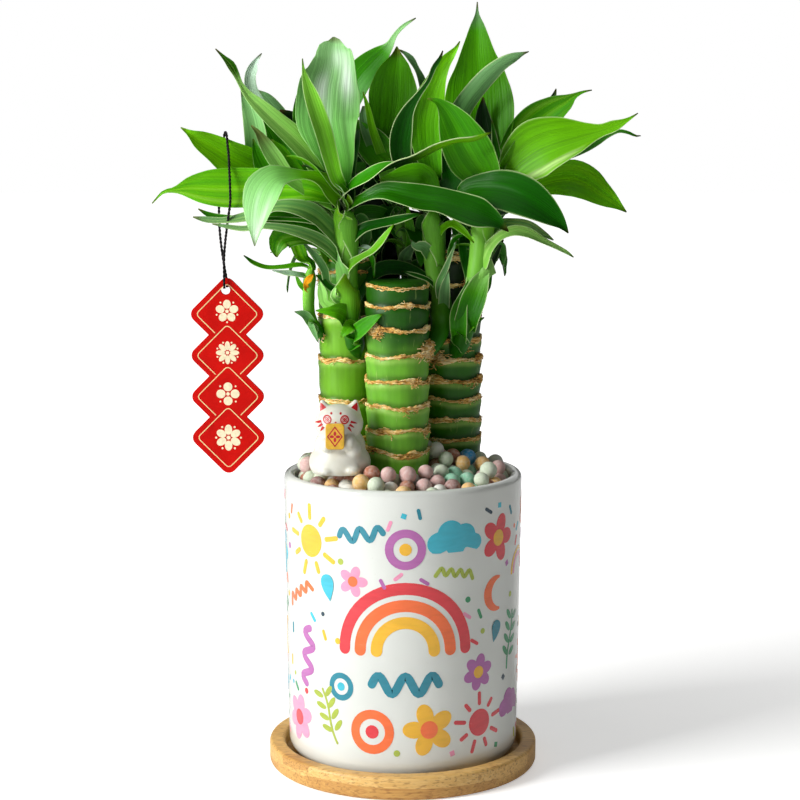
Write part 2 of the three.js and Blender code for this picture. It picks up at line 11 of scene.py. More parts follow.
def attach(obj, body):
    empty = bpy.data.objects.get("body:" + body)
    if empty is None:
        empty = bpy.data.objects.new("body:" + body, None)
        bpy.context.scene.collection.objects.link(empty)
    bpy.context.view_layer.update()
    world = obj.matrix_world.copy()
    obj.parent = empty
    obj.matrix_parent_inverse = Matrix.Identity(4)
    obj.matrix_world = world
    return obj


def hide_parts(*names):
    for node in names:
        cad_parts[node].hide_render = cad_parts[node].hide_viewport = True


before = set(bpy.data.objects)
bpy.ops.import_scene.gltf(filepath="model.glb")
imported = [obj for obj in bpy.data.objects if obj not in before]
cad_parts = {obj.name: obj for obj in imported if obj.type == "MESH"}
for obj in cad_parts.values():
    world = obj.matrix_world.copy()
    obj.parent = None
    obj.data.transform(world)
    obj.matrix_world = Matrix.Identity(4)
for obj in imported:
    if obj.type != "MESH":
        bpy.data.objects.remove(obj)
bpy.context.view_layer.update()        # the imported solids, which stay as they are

mm = 0.001
tau = 2 * math.pi
rest = "root"            # the plant has no joints, so everything rides on the one body


def paint(code):  # a colour written as #rrggbb, in the linear values that nodes take
    parts = [int(code[i : i + 2], 16) / 255 for i in (1, 3, 5)]
    return tuple(p / 12.92 if p <= 0.04045 else ((p + 0.055) / 1.055) ** 2.4 for p in parts) + (1.0,)


# node trees
class Wire:  # an output socket that can stand in a sum
    def __init__(self, tree, socket):
        self.tree = tree
        self.socket = socket

    def work(self, operation, first, second):
        return self.tree.node("Math", {"operation": operation}, {0: first, 1: second})

    def __add__(self, other):
        return self.work("ADD", self, other)

    def __radd__(self, other):
        return self.work("ADD", other, self)

    def __sub__(self, other):
        return self.work("SUBTRACT", self, other)

    def __rsub__(self, other):
        return self.work("SUBTRACT", other, self)

    def __mul__(self, other):
        return self.work("MULTIPLY", self, other)

    def __rmul__(self, other):
        return self.work("MULTIPLY", other, self)


class Tree:
    def __init__(self, nodeTree):
        self.tree = nodeTree
        self.tree.nodes.clear()

    def node(self, kind, settings=None, inputs=None, output=0):
        made = self.tree.nodes.new(kind if "Node" in kind else "ShaderNode" + kind)
        for key, value in (settings or {}).items():
            setattr(made, key, value)
        for key, value in (inputs or {}).items():
            if isinstance(value, Wire):
                self.tree.links.new(value.socket, made.inputs[key])
            else:
                isCode = isinstance(value, str) and value[0] == "#"
                made.inputs[key].default_value = paint(value) if isCode else value
        return Wire(self, made.outputs[output]) if made.outputs else made


class Finish(Tree):  # one material; colours may be given as #rrggbb
    def __init__(self, name):
        self.material = bpy.data.materials.new(name)
        self.material.use_nodes = True
        super().__init__(self.material.node_tree)

    def place(self, scale=None, vector=None):
        vector = vector or self.node("TexCoord", output="Object")
        return self.node("Mapping", None, {"Vector": vector, "Scale": scale}) if scale else vector

    def attribute(self, name, output="Color"):
        return self.node("Attribute", {"attribute_name": name}, output=output)

    def cloud(self, scale, detail=2.0, distortion=0.0, vector=None):  # scale may be one for each direction
        each = isinstance(scale, tuple)
        inputs = {"Vector": self.place(scale if each else None, vector), "Scale": 1.0 if each else scale}
        return self.node("TexNoise", None, {**inputs, "Detail": detail, "Distortion": distortion})

    def ramp(self, factor, *stops):
        made = self.node("ValToRGB", None, {0: factor})
        elements = made.socket.node.color_ramp.elements
        elements.remove(elements[-1])
        for number, (position, colour) in enumerate(stops):
            stop = elements.new(position) if number else elements[0]
            stop.position = position
            stop.color = paint(colour) if isinstance(colour, str) else colour
        return made

    def blend(self, factor, first, second, mode="MIX"):
        settings = {"data_type": "RGBA", "blend_type": mode}
        return self.node("Mix", settings, {0: factor, 6: first, 7: second}, output=2)

    def shaded(self, tone, strength):
        grey = self.node("CombineColor", None, {0: strength, 1: strength, 2: strength})
        return self.blend(1.0, tone, grey, "MULTIPLY")

    def vivid(self, colour, saturation):
        return self.node("HueSaturation", None, {"Saturation": saturation, "Color": colour})

    def between(self, value, low, high):  # 0 below low, 1 above high
        return self.node("MapRange", {"clamp": True}, {"Value": value, "From Min": low, "From Max": high})

    def skin(self, colour, rough, *bump, **more):  # bump: what it follows, its strength and its depth in m
        inputs = {"Base Color": colour, "Roughness": rough}
        inputs.update({key.replace("_", " "): value for key, value in more.items()})
        if bump:
            inputs["Normal"] = self.node("Bump", None, dict(zip(("Height", "Strength", "Distance"), bump)))
        self.node("OutputMaterial", None, {"Surface": self.node("BsdfPrincipled", None, inputs)})
        return self.material


class Scatter(Tree):  # a geometry tree that sets a shape on each point of a mesh
    def __init__(self, name, inputs):
        tree = bpy.data.node_groups.new(name, "GeometryNodeTree")
        for label, kind in {"Geometry": "Geometry", **inputs, "Seed": "Int", "Finish": "Material"}.items():
            tree.interface.new_socket(label, in_out="INPUT", socket_type="NodeSocket" + kind)
        tree.interface.new_socket("Geometry", in_out="OUTPUT", socket_type="NodeSocketGeometry")
        super().__init__(tree)
        entry = tree.nodes.new("NodeGroupInput")
        self.given = {socket.name: Wire(self, socket) for socket in entry.outputs if socket.name}

    def field(self, name, kind="FLOAT"):
        return self.node("GeometryNodeInputNamedAttribute", {"data_type": kind}, {"Name": name})

    def chance(self, low, high):
        isPlain = isinstance(high, float)
        first = 2 if isPlain else 0
        inputs = {first: low, first + 1: high, "Seed": self.given["Seed"]}
        kind = {"data_type": "FLOAT" if isPlain else "FLOAT_VECTOR"}
        return self.node("FunctionNodeRandomValue", kind, inputs, output=1 if isPlain else 0)

    def close(self, shape, turn, size):
        inputs = {"Points": self.given["Geometry"], "Instance": shape, "Rotation": turn, "Scale": size}
        made = self.node("GeometryNodeInstanceOnPoints", None, inputs)
        made = self.node("GeometryNodeRealizeInstances", None, {"Geometry": made})
        finish = {"Geometry": made, "Material": self.given["Finish"]}
        made = self.node("GeometryNodeSetMaterial", None, finish)
        self.node("NodeGroupOutput", None, {0: made})

    def grow(self, piece, values):  # the tree worked into the piece's mesh
        modifier = piece.modifiers.new(self.tree.name, "NODES")
        modifier.node_group = self.tree
        sockets = {i.name: i.identifier for i in self.tree.interface.items_tree if i.in_out == "INPUT"}
        for name, value in values.items():
            modifier[sockets[name]] = value
        return settled(piece)


# meshes, given in mm
def meshOf(name, points, faces=(), shadeSmooth=True):
    mesh = bpy.data.meshes.new(name)
    mesh.from_pydata((np.array(points, float) * mm).tolist(), [], faces)
    mesh.polygons.foreach_set("use_smooth", [shadeSmooth] * len(mesh.polygons))
    mesh.update()
    return mesh


def carry(mesh, name, values):  # one number, a direction or a colour at each point
    values = np.array(values, float)
    width = values.shape[1] if values.ndim > 1 else 1
    kind, field = {1: ("FLOAT", "value"), 3: ("FLOAT_VECTOR", "vector"), 4: ("FLOAT_COLOR", "color")}[width]
    mesh.attributes.new(name, kind, "POINT").data.foreach_set(field, values.ravel())


def dressed(piece, *materials):
    piece.data.materials.clear()
    for material in materials:
        piece.data.materials.append(material)
    return piece


def pieceOf(name, mesh, *materials):
    made = bpy.data.objects.new(name, mesh)
    bpy.context.collection.objects.link(made)
    return dressed(made, *materials)


def bmeshOf(name, bm):
    mesh = bpy.data.meshes.new(name)
    bm.to_mesh(mesh)
    bm.free()
    return mesh


def modify(piece, kind, **settings):
    modifier = piece.modifiers.new(kind.lower(), kind)
    for key, value in settings.items():
        setattr(modifier, key, value)


def settled(piece):  # the piece with its modifiers worked into a plain mesh
    bpy.context.view_layer.update()
    graph = bpy.context.evaluated_depsgraph_get()
    mesh = bpy.data.meshes.new_from_object(piece.evaluated_get(graph), depsgraph=graph)
    piece.modifiers.clear()
    piece.data = mesh
    mesh.name = piece.name
    return piece


def onRest(piece, slot, *nodes):
    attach(piece, rest)
    if nodes:
        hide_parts(*nodes)
    return piece


def tubeFaces(start, rows, sides):  # round a tube of points, with both ends closed
    faces = []
    for a in range(start, start + (rows - 1) * sides, sides):
        for k in range(sides):
            n = (k + 1) % sides
            faces.append((a + k, a + n, a + sides + n, a + sides + k))
    last = start + (rows - 1) * sides
    return faces + [tuple(range(start + sides - 1, start - 1, -1)), tuple(range(last, last + sides))]


def lathe(name, profile, sides):
    # profile of (radius, height), outside going up, from the axis to the axis
    rows, points, faces = [], [], []
    for radius, height in profile:
        count = sides if radius > 1e-6 else 1
        rows.append([len(points) + k % count for k in range(sides)])
        for angle in [tau * k / sides for k in range(count)]:
            points.append((radius * math.cos(angle), radius * math.sin(angle), height))
    for low, high in zip(rows, rows[1:]):
        for k in range(sides):
            n = (k + 1) % sides
            faces.append(tuple(dict.fromkeys((low[k], low[n], high[n], high[k]))))
    return meshOf(name, points, faces)


def arc(x, y, radius, start, stop, steps):
    turns = [math.radians(start + (stop - start) * i / steps) for i in range(steps + 1)]
    return [(x + radius * math.cos(t), y + radius * math.sin(t)) for t in turns]


def lineThrough(points, steps=16):
    # centripetal Catmull-Rom through the points, finely sampled
    ends = [np.array(p, float) for p in points]
    ends = [2 * ends[0] - ends[1]] + ends + [2 * ends[-1] - ends[-2]]
    line = []
    for p0, p1, p2, p3 in zip(ends, ends[1:], ends[2:], ends[3:]):
        a = np.linalg.norm(p1 - p0) ** 0.5
        b = a + np.linalg.norm(p2 - p1) ** 0.5
        c = b + np.linalg.norm(p3 - p2) ** 0.5
        for k in range(steps):
            t = a + (b - a) * k / steps
            q0 = p0 + (p1 - p0) * t / a
            q1 = p1 + (p2 - p1) * (t - a) / (b - a)
            q2 = p2 + (p3 - p2) * (t - b) / (c - b)
            r0 = q0 + (q1 - q0) * t / b
            r1 = q1 + (q2 - q1) * (t - a) / (c - a)
            line.append(r0 + (r1 - r0) * (t - a) / (b - a))
    line.append(ends[-2])
    return np.array(line)


def runLength(line):  # a fourth column is a width, which has no length
    return np.concatenate([[0], np.cumsum(np.linalg.norm(np.diff(line[:, :3], axis=0), axis=1))])


def pointsAt(line, distances):
    run = runLength(line)
    return np.stack([np.interp(distances, run, column) for column in line.T], axis=1)


def directionsAt(line, distances):
    step = 0.35
    after = pointsAt(line, np.minimum(np.array(distances) + step, runLength(line)[-1]))
    before = pointsAt(line, np.maximum(np.array(distances) - step, 0))
    return (after - before) / np.linalg.norm(after - before, axis=1, keepdims=True)


def unit(v):
    return v / max(np.linalg.norm(v), 1e-9)


def eased(x):
    x = min(max(x, 0.0), 1.0)
    return x * x * (3 - 2 * x)


def hump(x, width):
    return math.exp(-((x / width) ** 2))


def mixTone(first, second, share):
    return tuple(a + (b - a) * share for a, b in zip(first, second))


# camera, light and floor
studio = {
    "eye": (-1.2, -831, 275), "tilt": 8.2, "lens": 90, "sensor": 36, "ambient": 0.1, "floor": 6000,
    "lamps": [  # name, place, aim, size and power
        ("key", (-1.0, -0.55, 0.6), (0, 0, 0.17), (0.5, 0.7), 21.0),
        ("top", (-0.1, -0.1, 1.15), (0, 0, 0.1), (0.9, 0.9), 1.5),
        ("back", (0.35, 1.0, 0.75), (0, 0, 0.22), (1.3, 0.9), 2.2),
        ("fill", (0.9, -0.75, 0.35), (0, 0, 0.15), (0.2, 0.9), 0.3),
    ],
}


def floorFinish():
    floor = Finish("paleFloor")
    shade = floor.ramp(floor.cloud(3.0), (0.3, "#f4f4f2"), (0.7, "#fafaf9"))
    away = floor.node("VectorMath", {"operation": "LENGTH"}, {0: floor.place()}, output=1)
    glow = floor.blend(floor.between(away, 0.1, 1.0), (0.42, 0.42, 0.42, 1), (1, 1, 1, 1))
    shown = floor.node("LightPath", output="Is Camera Ray")
    glow = floor.blend(shown * 0.85 + 0.15, (0, 0, 0, 1), glow)
    return floor.skin(shade, 0.9, Specular_IOR_Level=0.1, Emission_Color=glow, Emission_Strength=1.0)


def setStudio():
    scene = bpy.context.scene
    camera = bpy.data.objects.new("camera", bpy.data.cameras.new("camera"))
    camera.data.lens = studio["lens"]
    camera.data.sensor_width = studio["sensor"]
    camera.data.sensor_fit = "HORIZONTAL"
    camera.data.clip_end = 50
    camera.location = [v * mm for v in studio["eye"]]
    camera.rotation_euler = (math.radians(90 - studio["tilt"]), 0, 0)
    bpy.context.collection.objects.link(camera)
    scene.camera = camera
    scene.view_settings.view_transform = "Standard"
    for name, place, aim, size, power in studio["lamps"]:
        lamp = bpy.data.lights.new(name, "AREA")
        lamp.shape = "RECTANGLE"
        lamp.size, lamp.size_y = size
        lamp.energy = power
        made = bpy.data.objects.new(name, lamp)
        made.location = place
        made.rotation_euler = (Vector(aim) - Vector(place)).to_track_quat("-Z", "Y").to_euler()
        bpy.context.collection.objects.link(made)
    scene.world = bpy.data.worlds.new("studio")
    scene.world.use_nodes = True
    sky = Tree(scene.world.node_tree)
    strength = sky.node("LightPath", output="Is Camera Ray") * (1 - studio["ambient"]) + studio["ambient"]
    shader = sky.node("Background", None, {"Color": (1, 1, 1, 1), "Strength": strength})
    sky.node("OutputWorld", None, {"Surface": shader})
    reach = studio["floor"]
    corners = [(-reach, -reach, 0), (reach, -reach, 0), (reach, reach, 0), (-reach, reach, 0)]
    pieceOf("floor", meshOf("floor", corners, [(0, 1, 2, 3)], False), floorFinish())


setStudio()
print("camera, lights and floor are set")


# the cord that the tag hangs by, laid over a leaf
twine = {
    "route": [
        (-73.5, -10.1, 203), (-73.5, -10.2, 206), (-73.5, -9.9, 210), (-73.5, -9.6, 215),
        (-73, -10, 221), (-71.9, -12.9, 228), (-70.9, -14.9, 233.6), (-70.4, -12.6, 238.5),
        (-70.7, -9, 244), (-71.2, -5.4, 251), (-71.8, -0.6, 257), (-72.6, 3.2, 262),
        (-73.2, 6, 265.9), (-74, 8.6, 266.5), (-74.8, 10.2, 263.4), (-75.6, 9.4, 255),
        (-76.2, 6, 247), (-76.2, 1.4, 238.5), (-75.8, -3.2, 229), (-74.9, -6.4, 221),
        (-74.1, -6.8, 215), (-73.4, -6.2, 210), (-72.8, -5.7, 206), (-72.7, -6.2, 203.2),
    ],
    "diameter": 1.1, "turn": 3.4, "core": 0.37, "ply": 0.22, "step": 0.3, "sides": 12,
}


def twineFinish():
    cord = Finish("blackTwine")
    fuzz = cord.cloud((2600, 2600, 900), 3.0)
    ridgeAndGlint = cord.attribute("ridgeAndGlint", "Fac")
    # the ridges of the twist are painted lighter than the black cord: a painted highlight
    colour = cord.ramp(ridgeAndGlint * 0.7 + fuzz * 0.3, (0.3, "#010101"), (0.7, "#070506"), (0.95, "#3a3038"))
    return cord.skin(colour, 0.7, fuzz, 0.6, 0.0001, Specular_IOR_Level=0.2)


def makeTwine():
    line = lineThrough(twine["route"])
    total = runLength(line)[-1]
    count, sides = int(total / twine["step"]), twine["sides"]
    stations = np.linspace(0, total, count)
    ways = directionsAt(line, stations)
    side = unit(np.cross(ways[0], [0, 1, 0]))
    points, ridges = [], []
    for station, centre, way in zip(stations, pointsAt(line, stations), ways):
        side = unit(side - way * side.dot(way))
        other = np.cross(way, side)
        for k in range(sides):
            angle = tau * k / sides
            ridgeAndGlint = abs(math.cos(angle - tau * station / twine["turn"])) ** 1.3  # two plies round each other
            out = side * math.cos(angle) + other * math.sin(angle)
            points.append(centre + out * (twine["core"] + twine["ply"] * ridgeAndGlint))
            ridges.append(ridgeAndGlint)
    mesh = meshOf("twistedCord", points, tubeFaces(0, count, sides))
    carry(mesh, "ridgeAndGlint", ridges)
    piece = pieceOf("twistedCord", mesh, twineFinish())
    onRest(piece, "black_cord", "tag_cord")
    path = [tuple(p * mm) for p in pointsAt(line, np.linspace(0, total, 120))]
    return total


print("cord laid, mm:", round(makeTwine(), 1))


# saucer
saucer = {"radius": 57, "height": 10, "recess": 50.4, "floor": 4, "edge": 1.5, "foot": 2.2, "sides": 160}


def bambooFinish():
    wood = Finish("bambooBoard")
    strips = {"Vector": wood.place((9, 55, 140)), "Scale": 1.0, "Randomness": 0.35}
    layer = wood.node("SeparateColor", None, {0: wood.node("TexVoronoi", None, strips, output="Color")})
    grain = wood.cloud((38, 900, 1300), 4.0, 0.4)
    pores = wood.between(wood.cloud((240, 1300, 1300)), 0.53, 0.66)
    tones = [(0.2, "#b98440"), (0.45, "#d0a056"), (0.62, "#e0b468"), (0.85, "#eecd8c")]
    colour = wood.blend(pores * 0.55, wood.ramp(grain * 0.6 + layer * 0.4, *tones), "#8a5526")
    height = grain * 0.6 - pores * 0.6
    return wood.skin(colour, 0.42 + grain * 0.25, height, 0.35, 0.0002, Coat_Weight=0.15, Coat_Roughness=0.35)


def makeSaucer():
    s = saucer
    edge, top = s["edge"], s["height"] - s["edge"]
    profile = [(0, 0)] + arc(s["radius"] - s["foot"], s["foot"], s["foot"], -90, 0, 6)
    profile += arc(s["radius"] - edge, top, edge, 0, 90, 6)
    profile += arc(s["recess"] + edge, top, edge, 90, 180, 6)
    profile += [(s["recess"], s["floor"] + 0.5), (s["recess"] - 0.5, s["floor"]), (0, s["floor"])]
    piece = pieceOf("bambooSaucer", lathe("bambooSaucer", profile, s["sides"]), bambooFinish())
    onRest(piece, "bamboo_wood", "saucer")


makeSaucer()
print("saucer turned")


# pot
pot = {
    "rim": 50, "foot": 48.6, "wall": 4.6, "top": 125.5, "underEdge": 8, "footRing": 40,
    "footWidth": 2.2, "stand": 4, "sides": 192,
}


def potRadius(z):
    low = pot["stand"] + pot["underEdge"]
    share = (z - low) / (pot["top"] - pot["wall"] / 2 - low)
    return pot["foot"] + (pot["rim"] - pot["foot"]) * min(max(share, 0), 1)


def glazeFinish():
    glaze = Finish("whiteGlaze")
    drift = glaze.cloud(24)
    specks = glaze.between(glaze.cloud(900, 1.0), 0.74, 0.8)
    colour = glaze.blend(specks * 0.12, glaze.ramp(drift, (0.3, "#d3d6d0"), (0.7, "#dde0da")), "#b9b3a2")
    ripple = glaze.cloud(55, 1.0)
    return glaze.skin(colour, 0.14 + drift * 0.08, ripple, 0.12, 0.0006, Coat_Weight=0.6, Coat_Roughness=0.06)


def makePot():
    p = pot
    lip, low, edge = p["wall"] / 2, p["stand"], p["underEdge"]
    inner, ring = p["foot"] - p["wall"], p["footRing"] - p["footWidth"]
    profile = [(0, low + 1.2), (ring, low + 1.2), (ring, low), (p["foot"] - edge, low)]
    profile += arc(p["foot"] - edge, low + edge, edge, -80, 0, 9)
    profile += [(potRadius(z), z) for z in np.linspace(14, p["top"] - lip - 1, 26)]
    profile += arc(p["rim"] - lip, p["top"] - lip, lip, 0, 180, 14)
    profile += [(inner, low + edge), (inner - 3, low + p["wall"]), (0, low + p["wall"])]
    piece = pieceOf("ceramicPot", lathe("ceramicPot", profile, p["sides"]), glazeFinish())
    onRest(piece, "glazed_ceramic", "pot")


makePot()
print("pot turned and glazed")


# canes
# the darker green above each cane's level is painted shade under the crown; the right and back canes are
# painted darker all over for the shade they stand in, partly their own darker green
canes = {  # where each stands, its top, its sheath rings, its green below and above a level
    "cane_front": {
        "x": -2.2, "y": -10, "radius": 12.9, "top": 206.5,
        "rings": [136, 145, 154.8, 165.3, 176, 186.6, 196.3],
        "low": "#6aa638", "high": "#20500e", "turn": 179, "soft": 7,
        # where frayed sheath feet swell a band: ring, degrees from the front, spread, height, shift
        "swells": [(4, 74, 20, 6.5, 0.3), (5, -46, 12, 3, -0.35), (6, 20, 6, 1.2, 0.3), (2, -20, 8, 1, 0.2)],
    },
    "cane_left": {
        "x": -23.4, "y": 10, "radius": 12, "top": 216, "rings": [138, 155, 172, 190, 209],
        "low": "#6ca430", "high": "#3d7d1c", "turn": 196, "soft": 10,
        "swells": [(0, 10, 30, 1.6, 0.3), (4, -66, 10, 1.6, -0.2)],
    },
    "cane_right": {
        "x": 20.5, "y": 16, "radius": 12.7, "top": 219,
        "rings": [137.6, 145.6, 154.5, 162.6, 171.6, 180, 190, 203, 214],
        "low": "#276208", "high": "#10240a", "turn": 190, "soft": 12,
        "swells": [(4, 70, 9, 2.0, 0.1), (3, -30, 14, 2.4, 0.3), (5, -34, 14, 2.4, -0.3)],
    },
    "cane_back": {
        "x": -11, "y": 31.3, "radius": 10, "top": 209, "rings": [134, 147, 160, 173, 186, 198],
        "low": "#265510", "high": "#142a0c", "turn": 186, "soft": 10, "swells": [],
    },
}
caneLook = {
    "stand": 45, "around": 96, "wave": 0.28, "drift": 0.9, "bandReach": 0.54, "bandProud": 0.55,
    "bandSteps": 200, "seed": 5, "strandsPerRing": 50, "strandLength": 2.0, "strandWidth": 0.17,
    "strandBend": 0.9, "shoulder": 3.2,
}
# where broken sheaths leave a thick tuft: cane, angle from the front in degrees, height, spread, strands,
# and where it isn't the usual, how untidy and how large
usualTuft = (0.35, 1.0)
tufts = [
    ("cane_front", 68, 177.5, 4.4, 260, 0.1, 1.2), ("cane_front", 84, 178, 4.0, 160, 0.3, 1.5),
    ("cane_right", -36, 173, 4.2, 200, 0.1, 1.3), ("cane_right", 149, 180, 3.0, 80, 0.4, 1.2),
    ("cane_left", -155, 181, 3.0, 80, 0.4, 1.2), ("cane_back", 63, 184, 3.0, 60, 0.4, 1.2),
    ("cane_left", -62, 182, 2.4, 50, 0.3, 1.1), ("cane_right", 18, 177, 3.0, 60, 0.2, 1.2),
    ("cane_front", -46, 188, 3.0, 60), ("cane_front", -34, 185, 2.2, 36), ("cane_front", 18, 197.5, 1.6, 24),
    ("cane_right", 62, 172, 2.4, 50), ("cane_left", -66, 205, 3.0, 40), ("cane_front", -20, 145.5, 2.0, 20),
    ("cane_front", 35, 165.5, 2.0, 24), ("cane_front", 20, 154, 2.2, 24), ("cane_left", 10, 139, 3.6, 80),
    ("cane_right", 30, 204, 2.5, 40), ("cane_front", 62, 145, 2.4, 36), ("cane_right", 48, 162, 2.0, 30),
]


def onCane(cane, angle, out, z):  # a point out from the cane's middle line, the angle from the front
    return (cane["x"] + out * math.sin(angle), cane["y"] - out * math.cos(angle), z)


def ringLevel(z, angle, number):
    drift = noise.noise(Vector((math.cos(angle) * 1.3, math.sin(angle) * 1.3, z * 0.37 + number)))
    return z + caneLook["wave"] * math.sin(2 * angle + z) + caneLook["drift"] * drift


def caneFinish():
    green = Finish("greenCane")
    streaks = green.cloud((520, 520, 24), 3.0)
    patches = green.cloud(75)
    scars = green.between(green.cloud((900, 900, 90)), 0.66, 0.74)
    colour = green.shaded(green.attribute("tone"), 0.45 + streaks * 0.5 + patches * 0.6)
    colour = green.vivid(green.blend(scars * 0.3, colour, "#a9c56e"), 1.05)
    height = streaks * 0.7 + patches
    return green.skin(colour, 0.3 + streaks * 0.25, height, 0.2, 0.0005, Specular_IOR_Level=0.25)


def fibreFinish():
    fibre = Finish("dryFibre")
    strands = fibre.cloud((420, 420, 2600), 4.0, 0.6)
    share = fibre.between(strands * 0.6 + fibre.cloud(150, 3.0) * 0.4, 0.36, 0.64)
    colour = fibre.ramp(share, (0.0, "#6e4516"), (0.22, "#c08a32"), (0.5, "#ecc06c"), (0.8, "#fde8b2"))
    return fibre.skin(colour, 0.85, strands, 0.9, 0.0006)


def makeCaneSkin(name, cane, material):
    around, top, shoulder = caneLook["around"], cane["top"], caneLook["shoulder"]
    levels = [*np.linspace(caneLook["stand"], 112, 5), *np.arange(114, top - shoulder, 0.8)]
    levels += [top - shoulder * (1 - math.sin(t)) for t in np.linspace(0, math.pi / 2, 7)]
    # pale: the painted highlight just below each ring
    low, high, pale = paint(cane["low"]), paint(cane["high"]), paint("#a8cc6c")
    points, tones = [], []
    for z in levels:
        edge = shoulder * (1 - math.sqrt(max(0.0, 1 - (max(0.0, z - top + shoulder) / shoulder) ** 2)))
        for k in range(around):
            angle = tau * k / around
            gap = min((z - ringLevel(r, angle, n) for n, r in enumerate(cane["rings"])), key=abs)
            out = cane["radius"] - edge + 0.45 * hump(gap + 2.0, 1.8) - 0.4 * hump(gap - 1.6, 1.6)
            out += 0.3 * noise.noise(Vector((math.cos(angle) * 1.5, math.sin(angle) * 1.5, z * 0.06)))
            x, y, _ = onCane(cane, angle, out, z)
            points.append((x, y, z))
            blotch = noise.noise(Vector((x * 0.12, y * 0.12, z * 0.09)))
            # above the level the green darkens, with a blotchy edge: painted shade under the crown
            rise = eased((z - cane["turn"] + cane["soft"] + 5 * blotch) / (2 * cane["soft"]))
            # paler just below each ring: a painted highlight on its swelling
            tone = mixTone(mixTone(low, high, rise), pale, 0.55 * (1 - rise) * hump(gap + 1.5, 1.2))
            # darker just above each ring: painted shade in its groove
            shade = 1 - 0.5 * hump(gap - 1.3, 1.1)
            tones.append([c * shade for c in tone[:3]] + [1.0])
    mesh = meshOf(name, points, tubeFaces(0, len(levels), around))
    carry(mesh, "tone", tones)
    return pieceOf(name, mesh, material)


def swollen(cane, ring, angle):  # how much higher a band is where a sheath's foot has frayed, and its shift
    swell, lean = 0.0, 0.0
    for number, degrees, spread, height, shift in cane["swells"]:
        if number == ring:
            there = height * hump((math.degrees(angle) - degrees + 180) % 360 - 180, spread)
            swell, lean = swell + there, lean + there * shift
    return swell, lean


def makeBands(name, cane, material):
    # torn sheath edges: at each node three thin wavering layers that come and go
    points, faces = [], []
    around = caneLook["bandSteps"]
    section = [
        (-1, -0.4), (-0.85, 0.3), (-0.35, 0.8), (0.2, 1.0), (0.7, 0.75), (1, 0.1), (0.9, -0.5), (-0.6, -0.7),
    ]
    n = len(section)
    levels = [(z, 1.0) for z in cane["rings"]] + [(cane["top"] - caneLook["shoulder"] + 1.0, 0.35)]
    for number, (z, size) in enumerate(levels):
        for layer in (-1, 0, 1):
            start = len(points)
            shift = Vector((layer * 5.3, number * 3.1, z))
            for k in range(around):
                angle = tau * k / around
                where = Vector((math.cos(angle) * 2.2, math.sin(angle) * 2.2, 0)) + shift
                broad, fine, torn = [noise.noise(where * often) for often in (0.9, 4.7, 15)]
                body = 1.7 * max(0.0, broad + 0.2) ** 1.3
                swell, lean = swollen(cane, number, angle)
                reach = 0.22 + 1.15 * body + 0.45 * abs(fine) + 0.35 * torn
                reach = caneLook["bandReach"] * size * reach + swell * (0.3 + 0.12 * fine)
                proud = 0.55 - 0.3 * abs(layer) + 0.9 * body + 0.6 * fine + 0.3 * torn
                proud = caneLook["bandProud"] * size * proud + swell * (0.2 + 0.16 * fine)
                level = ringLevel(z, angle, number) + layer * (0.35 + 0.6 * body + 0.16 * swell)
                level += 0.5 * fine + lean
                for up, out in section:
                    rough = 0.25 * noise.noise(Vector((angle * 26, up * 2.0, z + out)))
                    radius = cane["radius"] + 0.1 + (out if out < 0 else out * proud) + rough * size
                    points.append(onCane(cane, angle, radius, level + up * max(reach, 0.22) + rough))
            for a in range(start, start + around * n, n):
                b = start + (a + n - start) % (around * n)
                faces += [(a + j, b + j, b + (j + 1) % n, a + (j + 1) % n) for j in range(n)]
    return pieceOf(name, meshOf(name, points, faces), material)


def strandTree():
    g = Scatter("strands", {"Strand Length": "Float", "Strand Width": "Float", "Strand Bend": "Float"})
    length, bend = g.given["Strand Length"], g.given["Strand Bend"]
    middle = g.node("CombineXYZ", None, {0: bend, 2: length * 0.5})
    bow = {"Middle": middle, "End": g.node("CombineXYZ", None, {0: bend * -0.6, 2: length})}
    curve = g.node("GeometryNodeCurveQuadraticBezier", None, {"Resolution": 5, "Start": (0, 0, 0), **bow})
    taper = 1 - g.node("GeometryNodeSplineParameter") * 0.75
    curve = g.node("GeometryNodeSetCurveRadius", None, {"Curve": curve, "Radius": taper})
    ring = {"Resolution": 3, "Radius": g.given["Strand Width"]}
    ring = g.node("GeometryNodeCurvePrimitiveCircle", None, ring)
    strand = {"Curve": curve, "Profile Curve": ring, "Fill Caps": True}
    strand = g.node("GeometryNodeCurveToMesh", None, strand)
    spin = {"Axis": (0, 0, 1), "Angle": g.chance(0.0, 6.283)}
    spin = g.node("FunctionNodeAxisAngleToRotation", None, spin)
    lean = {"Vector": g.field("lean", "FLOAT_VECTOR")}
    turn = g.node("FunctionNodeAlignRotationToVector", {"axis": "Z"}, lean)
    turn = {"Rotation": turn, "Rotate By": spin}
    turn = g.node("FunctionNodeRotateRotation", {"rotation_space": "LOCAL"}, turn)
    g.close(strand, turn, g.field("size"))
    return g


